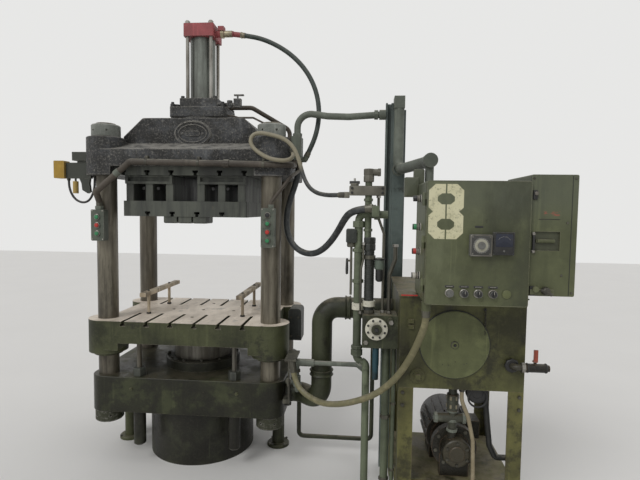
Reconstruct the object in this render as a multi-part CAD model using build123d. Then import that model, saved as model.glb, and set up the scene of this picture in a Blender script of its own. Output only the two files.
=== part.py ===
# Four-column upward-acting hydraulic compression molding press with its power unit.
# Frame: X to the right of the operator, Y away from the operator, Z up.
# Origin: on the floor, under the centre of the four columns. Units: millimetres.
import os
from math import cos, degrees, pi, radians, sin, tan

from build123d import *

# Columns and their nuts
COLUMN_DX = 595.0
COLUMN_DY = 333.0
COLUMN_DIAMETER = 140.0
COLUMN_GAP = 0.3
COLUMN_CHAMFER = 6.0
NUT_DIAMETER = 195.0
NUT_HEIGHT = 88.0
NUT_HOLE_DIAMETER = 16.0
NUT_HOLE_DEPTH = 14.0
NUT_CHAMFER = 7.0
STUD_PROUD = 12.0

# Bottom casting and main cylinder
BOLSTER_BOTTOM = 391.0
BOLSTER_TOP = 643.0
BOLSTER_CORNER = 105.0
CYLINDER_OD = 780.0
CYLINDER_BORE = 470.0
CYLINDER_FLOOR = 50.0
RAM_DIAMETER = 430.0
RAM_BOTTOM = 90.0
GLAND_OD = 560.0
GLAND_HEIGHT = 72.0
GLAND_GAP = 0.3
GLAND_BOLT_CIRCLE = 515.0
GLAND_BOLT_DIAMETER = 24.0
GLAND_BOLT_HEIGHT = 14.0
GLAND_BOLT_COUNT = 12

# Feet under the bottom casting
FOOT_DX = 600.0
FOOT_NECK = 92.0
FOOT_FLANGE = 170.0
FOOT_PLATE = 22.0
FOOT_CAP_HEIGHT = 34.0

# Moving table
TABLE_TOP = 1047.0
TABLE_WEB = 155.0
TABLE_EAR_DEPTH = 237.0
TABLE_EAR_RADIUS = 133.0
TABLE_FRONT = 464.0
TABLE_SIDE = 600.0
SLOT_PITCH = 170.0
SLOT_COUNT = 6
SLOT_WIDTH = 22.0
SLOT_HEAD_WIDTH = 38.0
SLOT_HEAD_HEIGHT = 16.0
SLOT_LIP = 18.0
SLOT_LENGTH = 290.0
TABLE_HOLE_DIAMETER = 26.0
TABLE_HOLE_DX = 240.0
TABLE_HOLE_DY = 260.0
BUSHING_FLANGE_OD = 204.0
BUSHING_FLANGE_HEIGHT = 22.0
RAM_PAD_OD = 520.0
RAM_PAD_HEIGHT = 40.0

# Knock-out bars on the table
BAR_DX = 358.0
BAR_WIDTH = 46.0
BAR_HEIGHT = 30.0
BAR_FRONT = -290.0
BAR_REAR = 370.0
BAR_LIFT = 172.0
POST_DIAMETER = 22.0
POST_FRONT = -190.0
POST_REAR = 195.0
POST_SOCKET = 4.0

# Pull-back rods beside the ram
ROD_DX = 347.0
ROD_DY = 375.0
ROD_DIAMETER = 34.0
ROD_GLAND_WIDTH = 92.0
ROD_GLAND_HEIGHT = 57.0
ROD_PLAY = 6.0
ROD_SLIDE = 0.4
ROD_CYLINDER_OD = 84.0
ROD_CYLINDER_BORE = 46.0
ROD_CYLINDER_BOTTOM = 140.0
ROD_BOTTOM = 170.0

# Guard slab carried on the right side of the table
GUARD_LEFT = 690.0
GUARD_RIGHT = 788.0
GUARD_FRONT = -130.0
GUARD_REAR = 40.0
GUARD_BOTTOM = 868.0
GUARD_TOP = 1104.0
GUARD_ARM_Z = 955.0
GUARD_ARM = 50.0

# Head casting
HEAD_BOTTOM = 2065.0
HEAD_LEDGE = 2240.0
HEAD_SLOPE_TOP = 2305.0
HEAD_SHOULDER = 2330.0
HEAD_WEB_TOP = 2489.0
HEAD_CORNER = 130.0
HEAD_WEB_HALF = 230.0
HEAD_WEB_STOP = 77.0
HEAD_WEB_BASE_HALF = COLUMN_DX - HEAD_WEB_STOP
HEAD_WEB_TAPER = 146.0
HEAD_WEB_TOP_HALF = HEAD_WEB_BASE_HALF - HEAD_WEB_TAPER
HEAD_WEB_KNEE = 24.0
HEAD_WEB_ROUND = 30.0
HEAD_SLOPE_INSET = 18.0
HEAD_END_DROP = 25.0
HEAD_SINK = 20.0
HEAD_BOSS_ROUND = 10.0
HEAD_EMBLEM_DROP = 20.0
HEAD_EMBLEM_WIDTH = 270.0
HEAD_EMBLEM_HEIGHT = 185.0
HEAD_EMBLEM_PROUD = 8.0

# Tooling plates hung under the head
UPPER_BOLSTER_HALF_X = 500.0
UPPER_BOLSTER_HALF_Y = 425.0
UPPER_BOLSTER_THICKNESS = 60.0
RAIL_INNER = 90.0
RAIL_OUTER = 428.0
RAIL_HALF_LENGTH = 395.0
RAIL_HEIGHT = 58.0
RAIL_FLANGE = 17.0
RAIL_RECESS = 24.0
SPACER_CENTRES = (112.0, 258.0, 398.0)
SPACER_WIDTH = 54.0
SPACER_HEIGHT = 118.0
SPACER_HALF_LENGTH = 385.0
DIE_PLATE_HALF_X = 437.0
DIE_PLATE_HALF_Y = 402.0
DIE_PLATE_THICKNESS = 107.0
DIE_SLOT_PITCH = 176.0
DIE_SLOT_COUNT = 4
CLAMP_PITCH = 105.0
CLAMP_WIDTH = 92.0
CLAMP_HEIGHT = 46.0
CLAMP_LENGTH = 150.0
PLATE_GAP = 0.2

# Head cylinder on top
TOP_PAD_OD = 330.0
TOP_PAD_HEIGHT = 22.0
TOP_FLANGE_LENGTH = 430.0
TOP_FLANGE_DEPTH = 300.0
TOP_FLANGE_HEIGHT = 76.0
TOP_BLOCK_WIDTH = 286.0
TOP_BLOCK_DEPTH = 240.0
TOP_BLOCK_HEIGHT = 68.0
TOP_TUBE_OD = 186.0
TOP_TUBE_WALL = 14.0
TOP_TUBE_HEIGHT = 452.0
TOP_CAP_WIDTH = 226.0
TOP_CAP_HEIGHT = 92.0
TOP_TIE_ROD = 26.0
TOP_TIE_PITCH = 176.0
TOP_TIE_NUT = 40.0
TOP_PORT_DROP = 14.0
TOP_PORT_REACH = 60.0
TOP_PORT_RADIUS = 26.0
TOP_FERRULE_RADIUS = 19.0
TOP_FERRULE_REACH = 132.0
TOP_EAR_RADIUS = 26.0
TOP_EAR_OUT = 30.0
TOP_EAR_Y = -80.0
TOP_VALVE_Y = -100.0
TOP_VALVE_PIPE = 13.0
TOP_VALVE_NUT = 20.0
TOP_VALVE_NUT_OUT = 92.0
TOP_VALVE_BODY_OUT = 125.0
TOP_VALVE_BODY = 53.0
TOP_VALVE_HANDLE = 66.0

# Switch box and bracket on the left end of the head
SWITCH_Y = -300.0
SWITCH_BOX = (-992.0, -913.0, 2045.0, 2170.0)
SWITCH_BOX_DEPTH = 70.0
SWITCH_PLATE = 30.0
SWITCH_SLAB = (-855.0, 2172.0, 2233.0)
SWITCH_SLAB_DEPTH = 60.0
SWITCH_HOOK = ((-816, 2094), (-727, 2094), (-740, 2010), (-732, 1950), (-752, 1938), (-792, 1962), (-798, 2010),
               (-816, 2050))
SWITCH_HOOK_DEPTH = 24.0
BRASS_X = -848.0
BRASS_BOTTOM = 1938.0
BRASS_TOP = 2025.0
BRASS_DIAMETER = 38.0

# Junction box on the right end of the head and what enters it
JUNCTION_RIGHT = 796.0
JUNCTION_FRONT = -330.0
JUNCTION_REAR = -190.0
JUNCTION_BOTTOM = 2183.3
JUNCTION_TOP = 2345.0
JUNCTION_FERRULE = 28.0

# Push-button stations on the front columns
STATION_WIDTH = 92.0
STATION_DEPTH = 62.0
STATION_CENTRE_Z = 1716.0
LEFT_STATION_HEIGHT = 216.0
RIGHT_STATION_HEIGHT = 266.0
BUTTON_PITCH = 57.0
BUTTON_DIAMETER = 38.0
BUTTON_CAP = 27.0
BUTTON_RING_HEIGHT = 9.0
BUTTON_CAP_HEIGHT = 15.0

# Hydraulic tank and its stand
TANK_LEFT = 1440.0
TANK_RIGHT = 2104.0
TANK_FRONT = -1030.0
TANK_REAR = -290.0
TANK_BOTTOM = 878.0
TANK_TOP = 1385.0
TANK_WALL = 6.0
TANK_LIP = 8.0
TANK_FLOOR_LIFT = 10.0
COVER_DIAMETER = 366.0
COVER_THICKNESS = 12.0
COVER_DX = -40.0
COVER_Z = 1126.0
COVER_HUB = 34.0
COVER_HUB_PROUD = 10.0
PLUG_X = 1539.0
PLUG_Z = 946.0
PLUG_BOSS = 56.0
PLUG_SQUARE = 26.0
TANK_PAD_X = 1498.0
TANK_PAD_ZS = (1216.0, 1247.0)
TANK_PAD_WIDTH = 28.0
TANK_PAD_HEIGHT = 20.0
TANK_PAD_PROUD = 14.0
LEG_WIDTH = 80.0
LEG_THICKNESS = 9.0
SHELF_Z = 320.0
SHELF_HEIGHT = 80.0
SHELF_PLATE = 10.0
SHELF_INSET = 110.0
SHELF_BEAM = 70.0
TOP_RAIL = 60.0

# Pump and motor
PUMP_X = 1775.0
PUMP_Z = 490.0
PUMP_FRONT = TANK_FRONT + 50.0
PUMP_CAP_RADIUS = 82.0
PUMP_CAP_LENGTH = 90.0
PUMP_BELL_RADIUS = 128.0
PUMP_BELL_LENGTH = 40.0
PUMP_NECK_RADIUS = 84.0
PUMP_NECK_LENGTH = 75.0
PUMP_SHAFT_RADIUS = 14.0
SHAFT_GAP = 8.0
SUCTION_RADIUS = 24.0
SUCTION_NUT_RADIUS = 33.0
SUCTION_NUT_DROP = 60.0
SUCTION_NUT_HEIGHT = 90.0
SUCTION_TEE_RADIUS = 26.0
SUCTION_TEE_REACH = 95.0
SUCTION_TEE_RISE = 190.0
MOTOR_RADIUS = 138.0
MOTOR_SHIELD_RADIUS = 112.0
MOTOR_SHIELD = 20.0
MOTOR_LENGTH = 330.0
MOTOR_FINS = 16
MOTOR_FIN_HEIGHT = 9.0
MOTOR_FIN_THICKNESS = 6.0
MOTOR_FOOT = 110.0
MOTOR_FOOT_INSET = 70.0
MOTOR_BOX_INSET = 110.0
MOTOR_BOX_LENGTH = 120.0
MOTOR_BOX_HEIGHT = 110.0
MOTOR_BOX_REACH = 60.0

# Control cabinet on the tank
CABINET_LEFT = 1531.0
CABINET_RIGHT = 2024.0
CABINET_FRONT = -1280.0
CABINET_REAR = -878.0
CABINET_TOP = 1990.0
CABINET_WALL = 6.0
CABINET_CORNER = 12.0
DOOR_THICKNESS = 20.0
DOOR_SKIN = 3.0
DOOR_FLANGE = 6.0
DOOR_GAP = 6.0
DOOR_MARGIN = 2.0
HINGE_HEIGHTS = (1480.0, 1690.0, 1900.0)
HINGE_LENGTH = 32.0
HINGE_RADIUS = 8.0
HINGE_OUT = 9.0
HINGE_IN = 16.0
HINGE_LEAF = 6.0
PIN_RADIUS = 4.5
SIDE_CABINET_RIGHT = 2240.0
SIDE_CABINET_BOTTOM = 1441.0
SIDE_CABINET_TOP = 2022.0
SIDE_CABINET_FRONT = -1262.0
SIDE_RECESS = (2047.0, 2163.0, 1660.0, 1751.0)
SIDE_RECESS_DEPTH = 12.0
LATCH_LENGTH = 110.0
LATCH_Z = 1462.0
LATCH_HEIGHT = 24.0
CABINET_GLAND_X = 1554.0
CABINET_GLAND_Y = -1200.0
CABINET_GLAND_RADIUS = 24.0
CABINET_GLAND_HEIGHT = 45.0

# Devices on the door and on the left side of the cabinet
TIMER = (1737.0, 1841.0, 1630.0, 1734.0)
TIMER_PROUD = 26.0
METER = (1846.0, 1940.0, 1638.0, 1746.0)
METER_PROUD = 30.0
KNOB_XS = (1651.0, 1720.0, 1787.0, 1856.0)
KNOB_Z = 1447.0
KNOB_RADIUS = 17.0
KNOB_PROUD = 26.0
PLUG_DISC_X = 1921.0
PLUG_DISC_RADIUS = 20.0
PLUG_DISC_PROUD = 5.0
LEGEND_WIDTH = 44.0
LEGEND_HEIGHT = 10.0
LEGEND_RISE = 27.0
LEGEND_PROUD = 2.0
SIDE_BUTTON_Y = -1080.0
SIDE_BUTTON_ZS = (1907.0, 1759.0, 1631.0, 1503.0)
SIDE_BUTTON_RADIUS = 20.0
SIDE_BUTTON_RING = 10.0
SIDE_BUTTON_CAP = 15.0
SIDE_BUTTON_PROUD = 42.0

# Drain valve on the tank front
DRAIN_X = 2031.0
DRAIN_Z = 1028.0
DRAIN_OD = 34.0
DRAIN_REACH = 45.0
DRAIN_BEND = 24.0
DRAIN_END_X = 2212.0
DRAIN_BODY_START = 2095.0
DRAIN_BODY_OD = 46.0
DRAIN_FLANGE = 60.0
STEM_X = 2140.0
STEM_RADIUS = 8.0
STEM_RISE = 32.0
LEVER_HUB = 14.0
LEVER_WIDTH = 22.0
LEVER_THICKNESS = 6.0
LEVER_LENGTH = 66.0

# Standpipe and return pipe behind the tank
STANDPIPE_LEFT = 1424.0
STANDPIPE_RIGHT = 1512.0
STANDPIPE_TOP = 2530.0
STANDPIPE_Y = TANK_REAR + 20.0
STANDPIPE_DEPTH = 80.0
CHANNEL_LEFT = 1375.0
CHANNEL_TOP = 2580.0
CHANNEL_WEB = 12.0
CHANNEL_DEPTH = 52.0
CLAMP_X = 1456.0
STANDPIPE_CLAMP = 44.0
STANDPIPE_CLAMP_DROP = 90.0
STANDPIPE_CLAMP_HEIGHT = 50.0
RETURN_OD = 68.0
RETURN_BEND = 70.0
RETURN_X = 1462.0
RETURN_TOP = 2560.0
RETURN_TURN_Z = 2120.0
RETURN_END_Y = -860.0
RETURN_CAP_LENGTH = 95.0
RETURN_CAP_RADIUS = 40.0
RETURN_NECK = 24.0
RETURN_HOOD = 70.0
RETURN_END_DX = 60.0
RETURN_NECK_Y = 50.0
RETURN_CLEAR = 6.0
RETURN_HOOD_HEIGHT = 79.0

# Valve block and piping between the press and the power unit
VALVE_BLOCK_LEFT = 1236.0
VALVE_BLOCK_HEIGHT = 190.0
VALVE_BLOCK_DEPTH = 150.0
VALVE_BLOCK_Z = 1146.0
VALVE_BLOCK_FRONT = -900.0
VALVE_DISC_X = 1317.0
VALVE_DISC_Z = 1168.0
VALVE_DISC_RADIUS = 63.0
VALVE_DISC_PROUD = 22.0
VALVE_HUB_RADIUS = 30.0
VALVE_HUB_PROUD = 22.0
BLUE_X = 1316.0
BLUE_Y = -872.0
BLUE_RADIUS = 18.0
BLUE_LENGTH = 190.0
RISER_Y = -840.0
RISER_OD = 48.0
RISER_X = 1206.0
RISER_FOOT_X = 1262.0
RISER_FOOT_Z = 955.0
RISER_BEND = 34.0
UNION_RADIUS = 34.0
UNION_HEIGHT = 38.0
SCREW_RISER_OD = 58.0
SCREW_RISER_X = 1271.0
SCREW_RISER_TOP = 1686.0
ELBOW_Z = 1818.0
ELBOW_OD = 44.0
ELBOW_END_X = 1372.0
UPPER_PIPE_X = 1257.0
UPPER_PIPE_TOP = 2080.0
UPPER_PIPE_OD = 40.0
MANIFOLD = (1148.0, 1354.0, 1927.0, 1982.0)
MANIFOLD_HALF_DEPTH = 30.0
FILTER = (1134.0, 1196.0, 1628.0, 1734.0)
BOWL_X = 1329.0
BOWL_Z = (1429.0, 1499.0, 1569.0)
BOWL_RADIUS = 30.0
BOWL_FOOT_RADIUS = 22.0
THIN_OD = 14.0
FILTER_HALF_DEPTH = 36.0
FILTER_FOOT = 26.0
FILTER_DROP = 280.0
HANDLE_TOP_DROP = 66.0
HANDLE_BOTTOM_DROP = 160.0
HANDLE_WIDTH = 14.0
SMALL_RISERS = ((1378.0, 46.0), (1424.0, 24.0))
MAIN_PIPE_OD = 141.0
MAIN_PIPE_X = 963.0
MAIN_PIPE_Y = -370.0
MAIN_PIPE_TOP = 1175.0
MAIN_PIPE_BEND = 110.0
MAIN_PIPE_TURN = 95.0
MAIN_PORT_Y = -225.0
MAIN_PORT_Z = 517.0
LINE_OD = 32.0
LINE_BEND = 36.0
LINE_Y = -472.0
LINE_X = 805.0
LINE_Z = 812.0
LINE_PORT_Y = -300.0
LINE_PORT_Z = 610.0
LINE_TURN_X = 1210.0
LINE_TURN_Y = -600.0
LINE_BOSS = 50.0
LINE_VALVE_LOW = 40.0
LINE_VALVE_HEIGHT = 70.0
TEE_RADIUS = 25.0
TEE_END_X = 920.0
DRAIN_LINE_Y = -100.0
DRAIN_LINE_X = 775.0
DRAIN_LINE_Z = 125.0
DRAIN_PORT_Z = 440.0
DRAIN_RISE_X = 1322.0
DRAIN_RISE_Z = 920.0
CROSS_OD = 46.0
CROSS_BEND = 95.0
CROSS_X = 762.0
CROSS_Y = -250.0
SIDE_ARM_X = 735.0
SIDE_ARM = 12.0
SIDE_ARM_FRONT = -420.0
SIDE_ARM_REAR = -360.0
SIDE_ARM_FOOT_Z = 500.0
SIDE_ARM_FOOT = 30.0
SIDE_ARM_RISE = 56.0
SIDE_GLAND_RADIUS = 22.0
SIDE_COCK_RADIUS = 20.0
SIDE_COCK_Z = 668.0
SIDE_COCK_HEIGHT = 60.0

# Conduits fixed to the head
FRONT_CONDUIT_OD = 42.0
FRONT_CONDUIT_BEND = 26.0
RIGHT_CONDUIT_OD = 24.0
RIGHT_CONDUIT_BEND = 22.0
REAR_PIPE_OD = 34.0
REAR_PIPE_BEND = 60.0

# Hoses and cables that hang: outside diameters
HEAD_HOSE_OD = 34.0
LOOP_HOSE_OD = 42.0
VALVE_HOSE_OD = 27.0
CABINET_HOSE_OD = 36.0
SWITCH_CABLE_OD = 16.0
BEND_SHARE = 0.45

HEAD_HOSE = [
    (305, -40, 3130), (401, -49, 3114), (493, -59, 3084), (580, -71, 3041), (661, -85, 2988),
    (733, -100, 2925), (796, -116, 2852), (846, -133, 2770), (882, -151, 2681), (902, -169, 2587),
    (906, -187, 2492), (894, -204, 2396), (866, -218, 2304), (825, -230, 2216)]
LOOP_HOSE = [
    (768, -215, 2183), (768, -215, 2099), (745, -222, 2014), (719, -232, 1932), (698, -244, 1850),
    (689, -259, 1766), (700, -277, 1682), (734, -305, 1609), (791, -346, 1560), (859, -395, 1541),
    (924, -449, 1552), (979, -504, 1588), (1024, -560, 1636), (1062, -616, 1689), (1094, -690, 1742),
    (1120, -768, 1787), (1150, -840, 1824), (1205, -893, 1846), (1280, -912, 1854)]
VALVE_HOSE = [
    (754, -430, 2229), (766, -463, 2201), (754, -495, 2171), (717, -516, 2158), (672, -524, 2160),
    (627, -523, 2169), (588, -519, 2184), (552, -512, 2205), (522, -504, 2226), (499, -497, 2250),
    (484, -493, 2278), (486, -489, 2309), (505, -487, 2332), (537, -486, 2341), (578, -486, 2338),
    (619, -487, 2329), (664, -490, 2318), (706, -495, 2301), (743, -500, 2275), (773, -505, 2241),
    (794, -509, 2200), (810, -512, 2158), (823, -518, 2114), (837, -527, 2071), (853, -542, 2032),
    (874, -565, 1998), (898, -595, 1973), (925, -628, 1955), (952, -662, 1943), (980, -698, 1936),
    (1009, -734, 1931), (1039, -769, 1929), (1071, -802, 1929), (1106, -828, 1929)]
CABINET_HOSE = [
    (1554, -1200, 1340.3), (1554, -1200, 1278), (1538, -1182, 1218), (1521, -1161, 1161),
    (1503, -1136, 1106), (1483, -1108, 1053), (1460, -1080, 1001), (1434, -1052, 951), (1403, -1024, 903),
    (1368, -997, 859), (1328, -970, 818), (1283, -944, 782), (1233, -920, 752), (1182, -894, 725),
    (1131, -865, 702), (1083, -830, 682), (1039, -788, 664), (999, -742, 650), (958, -694, 643),
    (915, -648, 644), (867, -612, 659), (826, -581, 694), (798, -560, 745), (788, -552, 804)]
SWITCH_CABLE = [
    (-900, -300, 2044.7), (-900, -300, 2003), (-892, -300, 1960), (-874, -299, 1920), (-845, -299, 1889),
    (-806, -299, 1872), (-764, -302, 1876), (-731, -308, 1902), (-710, -313, 1939), (-696, -318, 1979),
    (-692, -320, 2023), (-692, -320, 2064.7)]
SOLID_TOUCH = 0.3

CORNERS = [(sx, sy) for sx in (-1, 1) for sy in (-1, 1)]


def box(x0, x1, y0, y1, z0, z1):
    """Block between two opposite corners."""
    return Pos((x0 + x1) / 2, (y0 + y1) / 2, (z0 + z1) / 2) * Box(x1 - x0, y1 - y0, z1 - z0)


def disc(radius, z0, z1, x=0.0, y=0.0):
    """Upright round bar from z0 to z1."""
    return Pos(x, y, (z0 + z1) / 2) * Cylinder(radius, z1 - z0)


def bar_x(radius, x0, x1, y, z):
    """Round bar along X."""
    return Pos((x0 + x1) / 2, y, z) * Rot(0, 90, 0) * Cylinder(radius, abs(x1 - x0))


def bar_y(radius, y0, y1, x, z):
    """Round bar along Y."""
    return Pos(x, (y0 + y1) / 2, z) * Rot(90, 0, 0) * Cylinder(radius, abs(y1 - y0))


def rounded_plan(half_x, half_y, radius, z0, z1):
    """Plate with rounded plan corners."""
    return extrude(Pos(0, 0, z0) * RectangleRounded(2 * half_x, 2 * half_y, radius), z1 - z0)


def column_holes(radius, z0, z1):
    """Four bars that cut the column holes."""
    bars = []
    for sx, sy in CORNERS:
        bars.append(disc(radius, z0, z1, sx * COLUMN_DX, sy * COLUMN_DY))
    return bars


def pipe(points, od, bend):
    """Round bar along straight runs joined by bends of one radius."""
    path = FilletPolyline(*points, radius=bend)
    start = Plane(origin=path @ 0, z_dir=path % 0)
    return sweep(start * Circle(od / 2), path)


def hose(points, od, label):
    """Hanging hose; each bend is as wide as the shorter run beside it allows."""
    places = [Vector(*point) for point in points]
    radii = []
    for before, here, after in zip(places, places[1:], places[2:]):
        run_in = here - before
        run_out = after - here
        half_turn = radians(run_in.get_angle(run_out)) / 2
        radii.append(BEND_SHARE * min(run_in.length, run_out.length) / tan(half_turn))
    path = FilletPolyline(*points, radius=radii)
    start = Plane(origin=path @ 0, z_dir=path % 0)
    tube = sweep(start * Circle(od / 2), path)
    section = pi * od ** 2 / 4
    print(label, "bend radii", [round(radius) for radius in radii])
    ratio = tube.volume / section / path.length
    print(label, "length", round(path.length), "volume over section x length", round(ratio, 3))
    return tube


def plug(inner, end, radius, length):
    """Ferrule that carries on from a hose end, in line with its last run."""
    heading = (Vector(*end) - Vector(*inner)).normalized()
    place = Plane(origin=Vector(*end) + heading * SOLID_TOUCH, z_dir=heading)
    return place * Pos(0, 0, length / 2) * Cylinder(radius, length)


def tee_slot(z_face, direction, y0, y1, x):
    """Cutter for a T-slot that opens up (1) or down (-1)."""
    lip = z_face - direction * SLOT_LIP
    low = z_face - direction * (SLOT_LIP + SLOT_HEAD_HEIGHT)
    throat_end = z_face + direction
    throat = box(x - SLOT_WIDTH / 2, x + SLOT_WIDTH / 2, y0, y1, min(lip, throat_end), max(lip, throat_end))
    head = box(x - SLOT_HEAD_WIDTH / 2, x + SLOT_HEAD_WIDTH / 2, y0, y1, min(lip, low), max(lip, low))
    return throat + head


def row_of(count, pitch):
    """Positions of a centred row."""
    return [(i - (count - 1) / 2) * pitch for i in range(count)]


# Bottom casting: rounded slab with a bore for the main cylinder
def make_bottom_bolster():
    half_x = COLUMN_DX + BOLSTER_CORNER
    half_y = COLUMN_DY + BOLSTER_CORNER
    body = rounded_plan(half_x, half_y, BOLSTER_CORNER, BOLSTER_BOTTOM, BOLSTER_TOP)
    body = fillet(body.edges().filter_by(GeomType.LINE).group_by(Axis.Z)[-1], 6)
    for hole in column_holes(COLUMN_DIAMETER / 2 + COLUMN_GAP, BOLSTER_BOTTOM - 1, BOLSTER_TOP + 1):
        body -= hole
    body -= disc(CYLINDER_BORE / 2, BOLSTER_BOTTOM - 1, BOLSTER_TOP + 1)
    for sx in (-1, 1):
        body -= disc(ROD_DIAMETER / 2 + ROD_PLAY, BOLSTER_BOTTOM - 1, BOLSTER_TOP + 1, sx * ROD_DX, -ROD_DY)
    return body


# Main cylinder: heavy pot with a closed bottom that hangs from the casting down to the floor
def make_main_cylinder():
    shell = disc(CYLINDER_OD / 2, 0, BOLSTER_BOTTOM - SOLID_TOUCH)
    shell -= disc(CYLINDER_BORE / 2, CYLINDER_FLOOR, BOLSTER_BOTTOM + 1)
    return shell


# Gland ring bolted to the top of the casting round the ram
def make_cylinder_gland():
    z0 = BOLSTER_TOP + SOLID_TOUCH
    ring = disc(GLAND_OD / 2, z0, z0 + GLAND_HEIGHT)
    ring = chamfer(ring.edges().group_by(Axis.Z)[-1], 8)
    ring -= disc(RAM_DIAMETER / 2 + GLAND_GAP, z0 - 1, z0 + GLAND_HEIGHT + 1)
    for i in range(GLAND_BOLT_COUNT):
        angle = 2 * pi * (i + 0.5) / GLAND_BOLT_COUNT
        x = GLAND_BOLT_CIRCLE / 2 * cos(angle)
        y = GLAND_BOLT_CIRCLE / 2 * sin(angle)
        head = extrude(Pos(x, y, z0 + GLAND_HEIGHT - 1) * RegularPolygon(GLAND_BOLT_DIAMETER / 2, 6),
                       GLAND_BOLT_HEIGHT + 1)
        ring += head
    return ring


# Main ram: ground plunger with a pad that carries the table
def make_main_ram():
    top = TABLE_TOP - TABLE_WEB - SOLID_TOUCH
    ram = disc(RAM_DIAMETER / 2, RAM_BOTTOM, top - RAM_PAD_HEIGHT)
    pad = disc(RAM_PAD_OD / 2, top - RAM_PAD_HEIGHT, top)
    return ram + pad


# Feet: bolted cap, neck and floor plate on each side
def make_press_feet():
    feet = []
    for sx in (-1, 1):
        top = BOLSTER_BOTTOM - SOLID_TOUCH
        neck = disc(FOOT_NECK / 2, 0, top, sx * FOOT_DX)
        cap = disc(FOOT_FLANGE / 2, top - FOOT_CAP_HEIGHT, top, sx * FOOT_DX)
        plate = disc(FOOT_FLANGE / 2, 0, FOOT_PLATE, sx * FOOT_DX)
        plate = chamfer(plate.edges().group_by(Axis.Z)[-1], 6)
        feet.append(neck + cap + plate)
    return Compound(feet)


# Columns: four ground tie bars through the castings and the table
def make_columns():
    z0 = BOLSTER_BOTTOM - NUT_HEIGHT - STUD_PROUD
    z1 = HEAD_SHOULDER + NUT_HEIGHT + STUD_PROUD
    bars = []
    for sx, sy in CORNERS:
        bar = disc(COLUMN_DIAMETER / 2, z0, z1, sx * COLUMN_DX, sy * COLUMN_DY)
        bar = chamfer(bar.edges().filter_by(GeomType.CIRCLE), COLUMN_CHAMFER)
        bars.append(bar)
    return Compound(bars)


# Round column nuts with spanner holes, one above the head and one below the casting
def make_nut(x, y, z0):
    nut = disc(NUT_DIAMETER / 2, z0, z0 + NUT_HEIGHT, x, y)
    nut = chamfer(nut.edges().filter_by(GeomType.CIRCLE), NUT_CHAMFER)
    nut -= disc(COLUMN_DIAMETER / 2 + COLUMN_GAP, z0 - 1, z0 + NUT_HEIGHT + 1, x, y)
    for i in range(6):
        angle = radians(-60 + 60 * i)
        reach = NUT_DIAMETER / 2
        start = reach - NUT_HOLE_DEPTH
        cutter = Pos(x, y, z0 + NUT_HEIGHT / 2) * Rot(0, 0, degrees(angle)) * Pos((start + reach + 2) / 2, 0, 0)
        nut -= cutter * Rot(0, 90, 0) * Cylinder(NUT_HOLE_DIAMETER / 2, reach + 2 - start)
    return nut


def make_column_nuts():
    nuts = []
    for sx, sy in CORNERS:
        nuts.append(make_nut(sx * COLUMN_DX, sy * COLUMN_DY, HEAD_SHOULDER + SOLID_TOUCH))
        nuts.append(make_nut(sx * COLUMN_DX, sy * COLUMN_DY, BOLSTER_BOTTOM - NUT_HEIGHT - SOLID_TOUCH))
    return Compound(nuts)


# Moving table: web with T-slots between four ears that slide on the columns
def make_moving_table():
    z_web = TABLE_TOP - TABLE_WEB
    web = box(-TABLE_SIDE, TABLE_SIDE, -TABLE_FRONT, TABLE_FRONT, z_web, TABLE_TOP)
    table = web
    for sx, sy in CORNERS:
        table += disc(TABLE_EAR_RADIUS, TABLE_TOP - TABLE_EAR_DEPTH, TABLE_TOP, sx * COLUMN_DX, sy * COLUMN_DY)
        reach = COLUMN_DX - TABLE_EAR_RADIUS
        y_inner = COLUMN_DY - TABLE_EAR_RADIUS
        ribs = [(sx * reach, sy * y_inner), (sx * COLUMN_DX, sy * TABLE_FRONT)]
        (xa, ya), (xb, yb) = ribs
        table += box(min(xa, xb), max(xa, xb), min(ya, yb), max(ya, yb), TABLE_TOP - TABLE_EAR_DEPTH + 30, TABLE_TOP)
    for x in row_of(SLOT_COUNT, SLOT_PITCH):
        table -= tee_slot(TABLE_TOP, 1, -TABLE_FRONT - 1, -TABLE_FRONT + SLOT_LENGTH, x)
        table -= tee_slot(TABLE_TOP, 1, TABLE_FRONT - SLOT_LENGTH, TABLE_FRONT + 1, x)
    for x, y in ((0, 0), (TABLE_HOLE_DX, 0), (-TABLE_HOLE_DX, 0), (0, TABLE_HOLE_DY), (0, -TABLE_HOLE_DY)):
        table -= disc(TABLE_HOLE_DIAMETER / 2, TABLE_TOP - 60, TABLE_TOP + 1, x, y)
    for hole in column_holes(COLUMN_DIAMETER / 2 + COLUMN_GAP, TABLE_TOP - TABLE_EAR_DEPTH - 1, TABLE_TOP + 1):
        table -= hole
    for side in (-1, 1):
        for y in (POST_FRONT, POST_REAR):
            table -= disc(POST_DIAMETER / 2 + SOLID_TOUCH, TABLE_TOP - POST_SOCKET, TABLE_TOP + 1, side * BAR_DX, y)
    return table


# Guard slab on an arm at the right side of the table
def make_table_guard():
    slab = box(GUARD_LEFT, GUARD_RIGHT, GUARD_FRONT, GUARD_REAR, GUARD_BOTTOM, GUARD_TOP)
    slab = fillet(slab.edges().filter_by(Axis.Y).group_by(Axis.Z)[-1], 26)
    y = (GUARD_FRONT + GUARD_REAR) / 2
    slab += box(TABLE_SIDE + SOLID_TOUCH, GUARD_LEFT + 1, y - GUARD_ARM / 2, y + GUARD_ARM / 2,
                GUARD_ARM_Z - GUARD_ARM / 2, GUARD_ARM_Z + GUARD_ARM / 2)
    return slab


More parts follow.
